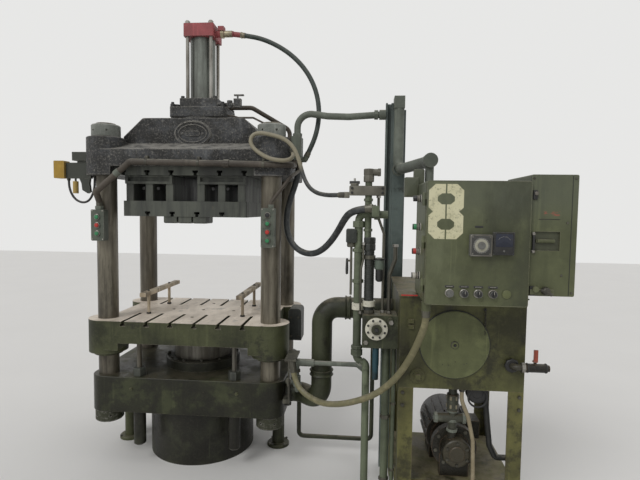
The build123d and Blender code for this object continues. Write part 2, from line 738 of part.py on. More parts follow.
# Bushing flanges under the ears
def make_guide_bushings():
    rings = []
    z1 = TABLE_TOP - TABLE_EAR_DEPTH - SOLID_TOUCH
    for sx, sy in CORNERS:
        x = sx * COLUMN_DX
        y = sy * COLUMN_DY
        ring = disc(BUSHING_FLANGE_OD / 2, z1 - BUSHING_FLANGE_HEIGHT, z1, x, y)
        ring = chamfer(ring.edges().group_by(Axis.Z)[0], 5)
        ring -= disc(COLUMN_DIAMETER / 2 + COLUMN_GAP, z1 - BUSHING_FLANGE_HEIGHT - 1, z1 + 1, x, y)
        rings.append(ring)
    return Compound(rings)


# Knock-out bar: flat bar on two posts
def make_ejector_bar(side):
    x = side * BAR_DX
    z0 = TABLE_TOP - POST_SOCKET + SOLID_TOUCH
    z1 = TABLE_TOP + BAR_LIFT
    bar = box(x - BAR_WIDTH / 2, x + BAR_WIDTH / 2, BAR_FRONT, BAR_REAR, z1 - BAR_HEIGHT, z1)
    bar = fillet(bar.edges().filter_by(Axis.Y), 4)
    for y in (POST_FRONT, POST_REAR):
        bar += disc(POST_DIAMETER / 2, z0, z1 - BAR_HEIGHT / 2, x, y)
    return bar


# Pull-back rods: fixed to the table, sliding in their glands
def make_pullback_rods():
    rods = []
    top = TABLE_TOP - TABLE_WEB - SOLID_TOUCH
    for sx in (-1, 1):
        rods.append(disc(ROD_DIAMETER / 2, ROD_BOTTOM, top, sx * ROD_DX, -ROD_DY))
    return Compound(rods)


def make_rod_cylinders():
    bodies = []
    top = BOLSTER_BOTTOM - SOLID_TOUCH
    for sx in (-1, 1):
        body = disc(ROD_CYLINDER_OD / 2, ROD_CYLINDER_BOTTOM, top, sx * ROD_DX, -ROD_DY)
        body = chamfer(body.edges().group_by(Axis.Z)[0], 8)
        body -= disc(ROD_CYLINDER_BORE / 2, ROD_CYLINDER_BOTTOM + 12, top + 1, sx * ROD_DX, -ROD_DY)
        bodies.append(body)
    return Compound(bodies)


def make_rod_glands():
    glands = []
    z0 = BOLSTER_TOP + SOLID_TOUCH
    for sx in (-1, 1):
        x = sx * ROD_DX
        gland = extrude(Pos(x, -ROD_DY, z0) * RegularPolygon(ROD_GLAND_WIDTH / 2, 6), ROD_GLAND_HEIGHT)
        gland = chamfer(gland.edges().group_by(Axis.Z)[-1], 5)
        gland -= disc(ROD_DIAMETER / 2 + ROD_SLIDE, z0 - 1, z0 + ROD_GLAND_HEIGHT + 1, x, -ROD_DY)
        glands.append(gland)
    return Compound(glands)


# Head casting: deep skirt, four column bosses and a tapered centre web
def make_head_casting():
    half_x = COLUMN_DX + HEAD_CORNER
    half_y = COLUMN_DY + HEAD_CORNER
    low = HEAD_LEDGE - HEAD_SINK
    skirt = rounded_plan(half_x, half_y, HEAD_CORNER, HEAD_BOTTOM, HEAD_LEDGE)
    head = skirt
    for sx, sy in CORNERS:
        boss = disc(HEAD_CORNER, low, HEAD_SHOULDER, sx * COLUMN_DX, sy * COLUMN_DY)
        boss = fillet(boss.edges().group_by(Axis.Z)[-1], HEAD_BOSS_ROUND)
        head += boss
    for sx in (-1, 1):
        x_in = sx * (COLUMN_DX - HEAD_CORNER)
        x_out = sx * half_x
        head += box(min(x_in, x_out), max(x_in, x_out), -COLUMN_DY, COLUMN_DY, low, HEAD_SHOULDER - HEAD_END_DROP)
    foot = half_y - HEAD_SLOPE_INSET
    slope = Polyline(
        (-foot, low), (-foot, HEAD_LEDGE), (-HEAD_WEB_HALF, HEAD_SLOPE_TOP),
        (HEAD_WEB_HALF, HEAD_SLOPE_TOP), (foot, HEAD_LEDGE), (foot, low), close=True)
    head += extrude(Plane.YZ.offset(-COLUMN_DX) * make_face(slope), 2 * COLUMN_DX)
    web = Polyline(
        (-HEAD_WEB_BASE_HALF, low), (-HEAD_WEB_BASE_HALF, HEAD_SHOULDER + HEAD_WEB_KNEE),
        (-HEAD_WEB_TOP_HALF, HEAD_WEB_TOP), (HEAD_WEB_TOP_HALF, HEAD_WEB_TOP),
        (HEAD_WEB_BASE_HALF, HEAD_SHOULDER + HEAD_WEB_KNEE), (HEAD_WEB_BASE_HALF, low), close=True)
    web_solid = extrude(Plane.XZ.offset(-HEAD_WEB_HALF) * make_face(web), 2 * HEAD_WEB_HALF)
    web_solid = fillet(web_solid.edges().filter_by(Axis.Y).group_by(Axis.Z)[-1], HEAD_WEB_ROUND)
    head += web_solid
    emblem_z = (HEAD_SLOPE_TOP + HEAD_WEB_TOP) / 2 - HEAD_EMBLEM_DROP
    oval = Plane.XZ.offset(HEAD_WEB_HALF + HEAD_EMBLEM_PROUD) * Pos(0, emblem_z) * Ellipse(
        HEAD_EMBLEM_WIDTH / 2, HEAD_EMBLEM_HEIGHT / 2)
    head += extrude(oval, -2 * HEAD_EMBLEM_PROUD)
    head += disc(TOP_PAD_OD / 2, HEAD_WEB_TOP - TOP_PAD_HEIGHT, HEAD_WEB_TOP + TOP_PAD_HEIGHT)
    head -= box(-UPPER_BOLSTER_HALF_X - PLATE_GAP, UPPER_BOLSTER_HALF_X + PLATE_GAP, -half_y - 1, half_y + 1,
                HEAD_BOTTOM - 1, HEAD_BOTTOM + UPPER_BOLSTER_THICKNESS)
    for hole in column_holes(COLUMN_DIAMETER / 2 + COLUMN_GAP, HEAD_BOTTOM - 1, HEAD_SHOULDER + 1):
        head -= hole
    return head


# Upper bolster plate with down-opening T-slots, let into the head
def make_upper_bolster():
    z0 = HEAD_BOTTOM
    z1 = HEAD_BOTTOM + UPPER_BOLSTER_THICKNESS - PLATE_GAP
    plate = box(-UPPER_BOLSTER_HALF_X, UPPER_BOLSTER_HALF_X, -UPPER_BOLSTER_HALF_Y, UPPER_BOLSTER_HALF_Y, z0, z1)
    for x in row_of(SLOT_COUNT, SLOT_PITCH):
        plate -= tee_slot(z0, -1, -UPPER_BOLSTER_HALF_Y - 1, UPPER_BOLSTER_HALF_Y + 1, x)
    return plate


# Spacer rails: channel-sided bars under the upper bolster
def make_spacer_rails():
    z1 = HEAD_BOTTOM - PLATE_GAP
    z0 = z1 - RAIL_HEIGHT
    rails = []
    for sx in (-1, 1):
        x0 = min(sx * RAIL_INNER, sx * RAIL_OUTER)
        x1 = max(sx * RAIL_INNER, sx * RAIL_OUTER)
        rail = box(x0, x1, -RAIL_HALF_LENGTH, RAIL_HALF_LENGTH, z0, z1)
        for sy in (-1, 1):
            y0 = min(sy * (RAIL_HALF_LENGTH - RAIL_RECESS), sy * (RAIL_HALF_LENGTH + 1))
            y1 = max(sy * (RAIL_HALF_LENGTH - RAIL_RECESS), sy * (RAIL_HALF_LENGTH + 1))
            rail -= box(x0 + 20, x1 - 20, y0, y1, z0 + RAIL_FLANGE, z1 - 12)
        rails.append(rail)
    return Compound(rails)


# Spacer bars: six parallels between the rails and the die plate
def make_spacer_bars():
    z1 = HEAD_BOTTOM - 2 * PLATE_GAP - RAIL_HEIGHT
    z0 = z1 - SPACER_HEIGHT
    bars = []
    for sx in (-1, 1):
        for centre in SPACER_CENTRES:
            x = sx * centre
            bar = box(x - SPACER_WIDTH / 2, x + SPACER_WIDTH / 2, -SPACER_HALF_LENGTH, SPACER_HALF_LENGTH, z0, z1)
            bars.append(chamfer(bar.edges().filter_by(Axis.Z), 3))
    return Compound(bars)


# Upper die plate with down-opening T-slots
def make_die_plate():
    z1 = HEAD_BOTTOM - 3 * PLATE_GAP - RAIL_HEIGHT - SPACER_HEIGHT
    z0 = z1 - DIE_PLATE_THICKNESS
    plate = box(-DIE_PLATE_HALF_X, DIE_PLATE_HALF_X, -DIE_PLATE_HALF_Y, DIE_PLATE_HALF_Y, z0, z1)
    plate = chamfer(plate.edges().filter_by(Axis.Z), 4)
    for x in row_of(DIE_SLOT_COUNT, DIE_SLOT_PITCH):
        plate -= tee_slot(z0, -1, -DIE_PLATE_HALF_Y - 1, DIE_PLATE_HALF_Y + 1, x)
    return plate


# Die clamps: three blocks under the front edge of the die plate
def make_die_clamps():
    z1 = HEAD_BOTTOM - 4 * PLATE_GAP - RAIL_HEIGHT - SPACER_HEIGHT - DIE_PLATE_THICKNESS
    blocks = []
    for x in row_of(3, CLAMP_PITCH):
        block = box(x - CLAMP_WIDTH / 2, x + CLAMP_WIDTH / 2, -DIE_PLATE_HALF_Y + 8,
                    -DIE_PLATE_HALF_Y + 8 + CLAMP_LENGTH, z1 - CLAMP_HEIGHT, z1)
        blocks.append(chamfer(block.edges().group_by(Axis.Z)[0], 6))
    return Compound(blocks)


# Top cylinder: flange with an eared block, tube, cap and tie rods
def make_top_flange():
    z0 = HEAD_WEB_TOP + TOP_PAD_HEIGHT + SOLID_TOUCH
    z_block = z0 + TOP_FLANGE_HEIGHT
    base = rounded_plan(TOP_FLANGE_LENGTH / 2, TOP_FLANGE_DEPTH / 2, 40, z0, z_block)
    base = fillet(base.edges().group_by(Axis.Z)[0], 12)
    block = rounded_plan(TOP_BLOCK_WIDTH / 2, TOP_BLOCK_DEPTH / 2, 14, z_block - 1, z_block + TOP_BLOCK_HEIGHT)
    side = TOP_BLOCK_WIDTH / 2
    for sx in (-1, 1):
        block += disc(TOP_EAR_RADIUS, z_block - 1, z_block + TOP_EAR_RADIUS, sx * (side + TOP_EAR_OUT), TOP_EAR_Y)
    y = TOP_VALVE_Y
    port_z = z_block + TOP_BLOCK_HEIGHT / 3
    x_body = side + TOP_VALVE_BODY_OUT
    x_end = x_body + TOP_VALVE_BODY
    half = TOP_VALVE_NUT
    valve = bar_x(TOP_VALVE_PIPE, side - 1, x_end - 2, y, port_z)
    valve += disc(TOP_VALVE_NUT, port_z - half - 4, port_z + half + 8, side + TOP_VALVE_NUT_OUT, y)
    valve += box(x_body, x_end, y - half, y + half, port_z - half, port_z + 2 * half)
    valve += disc(half / 3, port_z + half, port_z + TOP_VALVE_HANDLE, x_body + TOP_VALVE_BODY / 2, y)
    valve += box(x_body, x_end + half, y - half / 2, y + half / 2, port_z + TOP_VALVE_HANDLE - 4,
                 port_z + TOP_VALVE_HANDLE + 6)
    return base + block + valve


def make_top_tube():
    z0 = HEAD_WEB_TOP + TOP_PAD_HEIGHT + TOP_FLANGE_HEIGHT + TOP_BLOCK_HEIGHT + 2 * SOLID_TOUCH
    tube = disc(TOP_TUBE_OD / 2, z0, z0 + TOP_TUBE_HEIGHT)
    tube -= disc(TOP_TUBE_OD / 2 - TOP_TUBE_WALL, z0 - 1, z0 + TOP_TUBE_HEIGHT + 1)
    return tube


def make_top_cap():
    z0 = HEAD_WEB_TOP + TOP_PAD_HEIGHT + TOP_FLANGE_HEIGHT + TOP_BLOCK_HEIGHT + TOP_TUBE_HEIGHT + 3 * SOLID_TOUCH
    cap = rounded_plan(TOP_CAP_WIDTH / 2, TOP_CAP_WIDTH / 2, 10, z0, z0 + TOP_CAP_HEIGHT)
    side = TOP_CAP_WIDTH / 2
    port_z = z0 + TOP_CAP_HEIGHT / 2 - TOP_PORT_DROP
    x_hose, y_hose, _ = HEAD_HOSE[0]
    cap += bar_x(TOP_PORT_RADIUS, side - 4, side + TOP_PORT_REACH, y_hose, port_z)
    cap += bar_x(TOP_FERRULE_RADIUS + 2, side + TOP_PORT_REACH - 1, side + TOP_FERRULE_REACH + 1, y_hose, port_z)
    cap += plug(HEAD_HOSE[1], HEAD_HOSE[0], TOP_FERRULE_RADIUS, x_hose - side - TOP_FERRULE_REACH + 12)
    half = TOP_PORT_RADIUS
    cap += box(side + 20, side + 64, y_hose - half, y_hose + half, port_z + 20, port_z + 2 * half)
    for sx, sy in CORNERS:
        x = sx * TOP_TIE_PITCH / 2
        y = sy * TOP_TIE_PITCH / 2
        cap -= disc(TOP_TIE_ROD / 2 + SOLID_TOUCH, z0 - 1, z0 + TOP_CAP_HEIGHT + 1, x, y)
    return cap


def make_top_tie_rods():
    z0 = HEAD_WEB_TOP + TOP_PAD_HEIGHT + TOP_FLANGE_HEIGHT + TOP_BLOCK_HEIGHT + 2 * SOLID_TOUCH
    z1 = z0 + TOP_TUBE_HEIGHT + TOP_CAP_HEIGHT + 2 * SOLID_TOUCH
    rods = []
    for sx, sy in CORNERS:
        x = sx * TOP_TIE_PITCH / 2
        y = sy * TOP_TIE_PITCH / 2
        rod = disc(TOP_TIE_ROD / 2, z0, z1 + 24, x, y)
        rod += extrude(Pos(x, y, z1) * RegularPolygon(TOP_TIE_NUT / 2, 6), 18)
        rods.append(rod)
    return Compound(rods)


# Push-button stations on the front columns
def make_station(side, height):
    x = side * COLUMN_DX
    y1 = -COLUMN_DY - COLUMN_DIAMETER / 2 - SOLID_TOUCH
    y0 = y1 - STATION_DEPTH
    z = STATION_CENTRE_Z
    case = box(x - STATION_WIDTH / 2, x + STATION_WIDTH / 2, y0, y1, z - height / 2, z + height / 2)
    return fillet(case.edges().filter_by(Axis.Y), 8)


def make_button(x, y_face, z):
    ring = bar_y(BUTTON_DIAMETER / 2, y_face - BUTTON_RING_HEIGHT, y_face, x, z)
    cap = bar_y(BUTTON_CAP / 2, y_face - BUTTON_CAP_HEIGHT, y_face - 1, x, z)
    return ring + cap


def make_station_buttons():
    y_face = -COLUMN_DY - COLUMN_DIAMETER / 2 - 2 * SOLID_TOUCH - STATION_DEPTH
    buttons = []
    for dz in row_of(3, BUTTON_PITCH):
        buttons.append(make_button(-COLUMN_DX, y_face, STATION_CENTRE_Z + dz))
    for dz in row_of(4, BUTTON_PITCH):
        buttons.append(make_button(COLUMN_DX, y_face, STATION_CENTRE_Z + dz))
    return Compound(buttons)


# Tank: welded shell with its top and floor as plates of their own
def make_tank_body():
    shell = box(TANK_LEFT, TANK_RIGHT, TANK_FRONT, TANK_REAR, TANK_BOTTOM, TANK_TOP - TANK_WALL)
    shell -= box(TANK_LEFT + TANK_WALL, TANK_RIGHT - TANK_WALL, TANK_FRONT + TANK_WALL, TANK_REAR - TANK_WALL,
                 TANK_BOTTOM - 1, TANK_TOP)
    boss = Plane.XZ.offset(-TANK_FRONT - 1) * Pos(PLUG_X, PLUG_Z) * RegularPolygon(PLUG_BOSS / 2, 6)
    shell += extrude(boss, 13)
    half = PLUG_SQUARE / 2
    shell += box(PLUG_X - half, PLUG_X + half, TANK_FRONT - 30, TANK_FRONT, PLUG_Z - half, PLUG_Z + half)
    for z in TANK_PAD_ZS:
        shell += box(TANK_PAD_X - TANK_PAD_WIDTH / 2, TANK_PAD_X + TANK_PAD_WIDTH / 2, TANK_FRONT - TANK_PAD_PROUD,
                     TANK_FRONT + 1, z - TANK_PAD_HEIGHT / 2, z + TANK_PAD_HEIGHT / 2)
    return shell


def make_tank_top():
    z0 = TANK_TOP - TANK_WALL + SOLID_TOUCH
    return box(TANK_LEFT - TANK_LIP, TANK_RIGHT + TANK_LIP, TANK_FRONT - TANK_LIP, TANK_REAR + TANK_LIP,
               z0, z0 + TANK_WALL)


def make_tank_floor():
    inset = TANK_WALL + SOLID_TOUCH
    z0 = TANK_BOTTOM + TANK_FLOOR_LIFT
    return box(TANK_LEFT + inset, TANK_RIGHT - inset, TANK_FRONT + inset, TANK_REAR - inset, z0, z0 + TANK_WALL)


def make_tank_cover():
    x = (TANK_LEFT + TANK_RIGHT) / 2 + COVER_DX
    y1 = TANK_FRONT - SOLID_TOUCH
    y0 = y1 - COVER_THICKNESS
    cover = bar_y(COVER_DIAMETER / 2, y0, y1, x, COVER_Z)
    cover += bar_y(COVER_HUB / 2, y0 - COVER_HUB_PROUD, y0 + 1, x, COVER_Z)
    cover -= bar_y(COVER_HUB / 4, y0 - COVER_HUB_PROUD - 1, y0, x, COVER_Z)
    return cover


# Stand: four angle legs, rails and a shelf for pump and motor
def make_stand_frame():
    z1 = TANK_BOTTOM - SOLID_TOUCH
    frame = None
    for right in (0, 1):
        for rear in (0, 1):
            x_out = TANK_RIGHT if right else TANK_LEFT
            y_out = TANK_REAR if rear else TANK_FRONT
            x_in = x_out - LEG_WIDTH if right else x_out + LEG_WIDTH
            y_in = y_out - LEG_WIDTH if rear else y_out + LEG_WIDTH
            y_web = y_out - LEG_THICKNESS if rear else y_out + LEG_THICKNESS
            x_web = x_out - LEG_THICKNESS if right else x_out + LEG_THICKNESS
            flat = box(min(x_out, x_in), max(x_out, x_in), min(y_out, y_web), max(y_out, y_web), 0, z1)
            side = box(min(x_out, x_web), max(x_out, x_web), min(y_out, y_in), max(y_out, y_in), 0, z1)
            leg = flat + side
            frame = leg if frame is None else frame + leg
    z0 = SHELF_Z - SHELF_HEIGHT
    half = SHELF_BEAM / 2
    y_front = TANK_FRONT + SHELF_INSET
    y_rear = TANK_REAR - SHELF_INSET
    frame += box(TANK_LEFT, TANK_RIGHT, y_front - half, y_rear + half, SHELF_Z - SHELF_PLATE, SHELF_Z)
    for y in (y_front, y_rear):
        frame += box(TANK_LEFT, TANK_RIGHT, y - half, y + half, z0, SHELF_Z)
    for x0, x1 in ((TANK_LEFT, TANK_LEFT + LEG_THICKNESS), (TANK_RIGHT - LEG_THICKNESS, TANK_RIGHT)):
        frame += box(x0, x1, TANK_FRONT, TANK_REAR, z0, SHELF_Z)
        frame += box(x0, x1, TANK_FRONT, TANK_REAR, z1 - TOP_RAIL, z1)
    return frame


# Pump with its suction line, and motor, on the shelf
def make_pump():
    x = PUMP_X
    z = PUMP_Z
    y_bell = PUMP_FRONT + PUMP_CAP_LENGTH
    y_neck = y_bell + PUMP_BELL_LENGTH
    y_end = y_neck + PUMP_NECK_LENGTH
    body = bar_y(PUMP_CAP_RADIUS, PUMP_FRONT, y_bell, x, z)
    body = fillet(body.edges().group_by(Axis.Y)[0], 18)
    body += bar_y(PUMP_BELL_RADIUS, y_bell - 5, y_neck, x, z)
    body += bar_y(PUMP_NECK_RADIUS, y_neck - 5, y_end, x, z)
    body += bar_y(PUMP_SHAFT_RADIUS, y_end - 1, y_end + SHAFT_GAP - SOLID_TOUCH, x, z)
    body += box(x - PUMP_CAP_RADIUS, x + PUMP_CAP_RADIUS, y_bell - 10, y_neck, SHELF_Z + SOLID_TOUCH, z - 40)
    x_line = x - SUCTION_RADIUS
    y_line = PUMP_FRONT + PUMP_CAP_LENGTH / 2
    top = TANK_BOTTOM + TANK_FLOOR_LIFT - SOLID_TOUCH
    body += disc(SUCTION_RADIUS, z + 40, top, x_line, y_line)
    nut_top = TANK_BOTTOM - SUCTION_NUT_DROP
    body += disc(SUCTION_NUT_RADIUS, nut_top - SUCTION_NUT_HEIGHT, nut_top, x_line, y_line)
    tee_z = z + SUCTION_TEE_RISE
    body += bar_x(SUCTION_TEE_RADIUS, x_line - SUCTION_TEE_REACH, x_line + SUCTION_TEE_REACH * 0.7, y_line, tee_z)
    return body


def make_motor():
    x = PUMP_X
    z = PUMP_Z
    y0 = PUMP_FRONT + PUMP_CAP_LENGTH + PUMP_BELL_LENGTH + PUMP_NECK_LENGTH + SHAFT_GAP
    y1 = y0 + MOTOR_LENGTH
    frame = bar_y(MOTOR_RADIUS, y0 + MOTOR_SHIELD, y1, x, z)
    frame += bar_y(MOTOR_SHIELD_RADIUS, y0, y0 + MOTOR_SHIELD + 1, x, z)
    for i in range(MOTOR_FINS):
        angle = 360 / MOTOR_FINS * (i + 0.5)
        fin = Pos(x, (y0 + y1) / 2, z) * Rot(0, angle, 0) * Pos(0, 0, MOTOR_RADIUS)
        frame += fin * Box(MOTOR_FIN_THICKNESS, MOTOR_LENGTH * 0.7, 2 * MOTOR_FIN_HEIGHT)
    frame += box(x - MOTOR_FOOT, x + MOTOR_FOOT, y0 + MOTOR_FOOT_INSET, y1 - MOTOR_FOOT_INSET,
                 SHELF_Z + SOLID_TOUCH, z - MOTOR_RADIUS / 2)
    x_box = x + MOTOR_RADIUS
    y_box = y0 + MOTOR_BOX_INSET
    frame += box(x_box - MOTOR_BOX_REACH / 2, x_box + MOTOR_BOX_REACH, y_box, y_box + MOTOR_BOX_LENGTH,
                 z - MOTOR_BOX_HEIGHT / 2, z + MOTOR_BOX_HEIGHT / 2)
    return frame


# Control cabinet: open-fronted shell on the tank, with hinge knuckles, latches and a hose gland
def make_control_cabinet():
    z0 = TANK_TOP + 2 * SOLID_TOUCH
    y0 = CABINET_FRONT + DOOR_THICKNESS + DOOR_GAP
    wall = CABINET_WALL
    shell = box(CABINET_LEFT, CABINET_RIGHT, y0, CABINET_REAR, z0, CABINET_TOP)
    shell = fillet(shell.edges().filter_by(Axis.Y), CABINET_CORNER)
    shell -= box(CABINET_LEFT + wall, CABINET_RIGHT - wall, y0 - 1, CABINET_REAR - wall, z0 + wall, CABINET_TOP - wall)
    half = HINGE_LEAF
    x = CABINET_LEFT - HINGE_OUT
    y = CABINET_FRONT + HINGE_IN
    for z in HINGE_HEIGHTS:
        shell += disc(HINGE_RADIUS, z - HINGE_LENGTH, z, x, y)
        shell += disc(PIN_RADIUS, z - 1, z + HINGE_LENGTH, x, y)
        shell += box(x - half, x + half, y, y0 + 4, z - HINGE_LENGTH, z)
        shell += box(x - half, CABINET_LEFT + wall, y0, y0 + HINGE_LEAF, z - HINGE_LENGTH, z)
    shell += disc(CABINET_GLAND_RADIUS, z0 - CABINET_GLAND_HEIGHT, z0 + 1, CABINET_GLAND_X, CABINET_GLAND_Y)
    return shell


def make_cabinet_door():
    z0 = TANK_TOP + 2 * SOLID_TOUCH
    x0 = CABINET_LEFT + DOOR_MARGIN
    x1 = CABINET_RIGHT - DOOR_MARGIN
    y1 = CABINET_FRONT + DOOR_THICKNESS
    door = box(x0, x1, CABINET_FRONT, y1, z0 + DOOR_MARGIN, CABINET_TOP - DOOR_MARGIN)
    door = fillet(door.edges().filter_by(Axis.Y), CABINET_CORNER - DOOR_MARGIN)
    door -= box(x0 + DOOR_FLANGE, x1 - DOOR_FLANGE, CABINET_FRONT + DOOR_SKIN, y1 + 1,
                z0 + DOOR_MARGIN + DOOR_FLANGE, CABINET_TOP - DOOR_MARGIN - DOOR_FLANGE)
    x = CABINET_LEFT - HINGE_OUT
    y = CABINET_FRONT + HINGE_IN
    for z in HINGE_HEIGHTS:
        knuckle = disc(HINGE_RADIUS, z + SOLID_TOUCH, z + HINGE_LENGTH, x, y)
        knuckle += box(x, x0 + DOOR_FLANGE - 1, y - HINGE_LEAF, y, z + SOLID_TOUCH, z + HINGE_LENGTH)
        door += knuckle
        door -= disc(PIN_RADIUS + SOLID_TOUCH, z, z + HINGE_LENGTH + 1, x, y)
    return door


def make_side_cabinet():
    x0 = CABINET_RIGHT + SOLID_TOUCH
    case = box(x0, SIDE_CABINET_RIGHT, SIDE_CABINET_FRONT, CABINET_REAR, SIDE_CABINET_BOTTOM, SIDE_CABINET_TOP)
    case = fillet(case.edges().filter_by(Axis.Y), 8)
    left, right, low, high = SIDE_RECESS
    case -= box(left, right, SIDE_CABINET_FRONT - 1, SIDE_CABINET_FRONT + SIDE_RECESS_DEPTH, low, high)
    handle = bar_x(9, left + 14, left + 92, SIDE_CABINET_FRONT + 2, (low + high) / 2)
    handle += bar_y(9, SIDE_CABINET_FRONT + 2, SIDE_CABINET_FRONT + SIDE_RECESS_DEPTH + 1, left + 16, (low + high) / 2)
    case += handle
    latch_y = SIDE_CABINET_FRONT
    case += box(x0 + 6, x0 + 6 + LATCH_LENGTH, latch_y - 16, latch_y + 1, LATCH_Z - LATCH_HEIGHT / 2,
                LATCH_Z + LATCH_HEIGHT / 2)
    case += bar_y(14, latch_y - 28, latch_y - 10, x0 + 30, LATCH_Z + 14)
    return case


# Timer, meter, selector knobs and legend plates on the door
def make_door_devices():
    y = CABINET_FRONT - SOLID_TOUCH
    x0, x1, z0, z1 = TIMER
    timer = box(x0, x1, y - TIMER_PROUD, y, z0, z1)
    timer = fillet(timer.edges().filter_by(Axis.Y), 6)
    timer += bar_y(18, y - TIMER_PROUD - 12, y - TIMER_PROUD + 1, (x0 + x1) / 2, (z0 + z1) / 2)
    x0, x1, z0, z1 = METER
    parts = [timer, box(x0, x1, y - METER_PROUD, y, z0, z1)]
    for x in KNOB_XS:
        parts.append(bar_y(KNOB_RADIUS, y - KNOB_PROUD, y, x, KNOB_Z))
        parts.append(box(x - LEGEND_WIDTH / 2, x + LEGEND_WIDTH / 2, y - LEGEND_PROUD, y,
                         KNOB_Z + LEGEND_RISE, KNOB_Z + LEGEND_RISE + LEGEND_HEIGHT))
    parts.append(bar_y(PLUG_DISC_RADIUS, y - PLUG_DISC_PROUD, y, PLUG_DISC_X, KNOB_Z))
    return Compound(parts)


def make_cabinet_buttons():
    x = CABINET_LEFT - SOLID_TOUCH
    parts = []
    for z in SIDE_BUTTON_ZS:
        ring = bar_x(SIDE_BUTTON_RADIUS, x - SIDE_BUTTON_RING, x, SIDE_BUTTON_Y, z)
        ring += bar_x(SIDE_BUTTON_CAP, x - SIDE_BUTTON_PROUD, x - SIDE_BUTTON_RING + 1, SIDE_BUTTON_Y, z)
        parts.append(ring)
    return Compound(parts)


# Drain valve and its lever on the tank front
def make_drain_valve():
    y0 = TANK_FRONT - SOLID_TOUCH
    y_line = y0 - DRAIN_REACH
    path = [(DRAIN_X, y0, DRAIN_Z), (DRAIN_X, y_line, DRAIN_Z), (DRAIN_END_X, y_line, DRAIN_Z)]
    valve = pipe(path, DRAIN_OD, DRAIN_BEND)
    valve += bar_x(DRAIN_BODY_OD / 2, DRAIN_BODY_START, DRAIN_END_X - 12, y_line, DRAIN_Z)
    valve += bar_y(DRAIN_FLANGE / 2, y0 - 12, y0, DRAIN_X, DRAIN_Z)
    valve += disc(STEM_RADIUS, DRAIN_Z, DRAIN_Z + STEM_RISE, STEM_X, y_line)
    return valve


def make_drain_lever():
    y_line = TANK_FRONT - SOLID_TOUCH - DRAIN_REACH
    z0 = DRAIN_Z + STEM_RISE + SOLID_TOUCH
    half = LEVER_WIDTH / 2
    y0 = y_line - STEM_RADIUS - LEVER_THICKNESS / 2
    lever = disc(LEVER_HUB, z0, z0 + LEVER_THICKNESS, STEM_X, y_line)
    lever += box(STEM_X - half, STEM_X + half, y0, y_line, z0, z0 + LEVER_THICKNESS)
    lever += box(STEM_X - half, STEM_X + half, y0, y0 + LEVER_THICKNESS, z0, z0 + LEVER_LENGTH)
    return lever


# Standpipe clamped to the tank, and the return pipe that comes down from it
def make_standpipe():
    y0 = STANDPIPE_Y
    y1 = y0 + STANDPIPE_DEPTH
    post = box(STANDPIPE_LEFT, STANDPIPE_RIGHT, y0, y1, 0, STANDPIPE_TOP)
    post = fillet(post.edges().filter_by(Axis.Z), 8)
    y_mid = (y0 + y1) / 2
    y2 = y_mid - CHANNEL_DEPTH / 2
    y3 = y_mid + CHANNEL_DEPTH / 2
    channel = box(CHANNEL_LEFT, STANDPIPE_LEFT + 2, y2, y3, 0, CHANNEL_TOP)
    channel -= box(CHANNEL_LEFT + CHANNEL_WEB, STANDPIPE_LEFT - CHANNEL_WEB, y2 - 1, y3 - CHANNEL_WEB,
                   -1, CHANNEL_TOP + 1)
    z0 = TANK_TOP - STANDPIPE_CLAMP_DROP
    clamp = box(CLAMP_X, CLAMP_X + STANDPIPE_CLAMP, TANK_REAR + SOLID_TOUCH, y0 + 4,
                z0, z0 + STANDPIPE_CLAMP_HEIGHT)
    return post + channel + clamp


def make_return_pipe():
    y = STANDPIPE_Y - RETURN_OD / 2 - RETURN_CLEAR
    x_end = CABINET_LEFT + RETURN_END_DX
    points = [(RETURN_X, y, RETURN_TOP), (RETURN_X, y, RETURN_TURN_Z), (x_end, RETURN_END_Y, RETURN_TURN_Z)]
    tube = pipe(points, RETURN_OD, RETURN_BEND)
    half = RETURN_HOOD / 2
    z0 = STANDPIPE_TOP + SOLID_TOUCH
    tube += box(RETURN_X - half, RETURN_X + half, y - half, STANDPIPE_Y + STANDPIPE_DEPTH / 2,
                z0, z0 + RETURN_HOOD_HEIGHT)
    y_end = RETURN_END_Y
    tube += bar_y(RETURN_CAP_RADIUS, y_end - RETURN_CAP_LENGTH, y_end + 10, x_end, RETURN_TURN_Z)
    tube += disc(RETURN_NECK, CABINET_TOP + SOLID_TOUCH, RETURN_TURN_Z, x_end, y_end - RETURN_NECK_Y)
    return tube


# Large pipe from the tank to the main cylinder
def make_main_pipe():
    x = MAIN_PIPE_X
    y = MAIN_PIPE_Y
    side = COLUMN_DX + BOLSTER_CORNER + SOLID_TOUCH
    points = [(TANK_LEFT - SOLID_TOUCH, y, MAIN_PIPE_TOP), (x, y, MAIN_PIPE_TOP), (x, y, MAIN_PORT_Z),
              (side + MAIN_PIPE_TURN, MAIN_PORT_Y, MAIN_PORT_Z), (side, MAIN_PORT_Y, MAIN_PORT_Z)]
    return pipe(points, MAIN_PIPE_OD, MAIN_PIPE_BEND)


def make_pressure_pipe():
    side = COLUMN_DX + BOLSTER_CORNER + SOLID_TOUCH
    y_end = RISER_Y + LINE_BOSS + SOLID_TOUCH
    points = [(side, LINE_PORT_Y, LINE_PORT_Z), (LINE_X, LINE_PORT_Y, LINE_PORT_Z), (LINE_X, LINE_Y, LINE_PORT_Z),
              (LINE_X, LINE_Y, LINE_Z), (LINE_TURN_X, LINE_Y, LINE_Z), (RISER_FOOT_X, LINE_TURN_Y, LINE_Z),
              (RISER_FOOT_X, y_end, LINE_Z)]
    line = pipe(points, LINE_OD, LINE_BEND)
    line += bar_x(TEE_RADIUS, LINE_X - TEE_RADIUS, TEE_END_X, LINE_Y, LINE_Z)
    z_valve = LINE_PORT_Z + LINE_VALVE_LOW
    line += disc(TEE_RADIUS, z_valve, z_valve + LINE_VALVE_HEIGHT, LINE_X, LINE_Y)
    return line


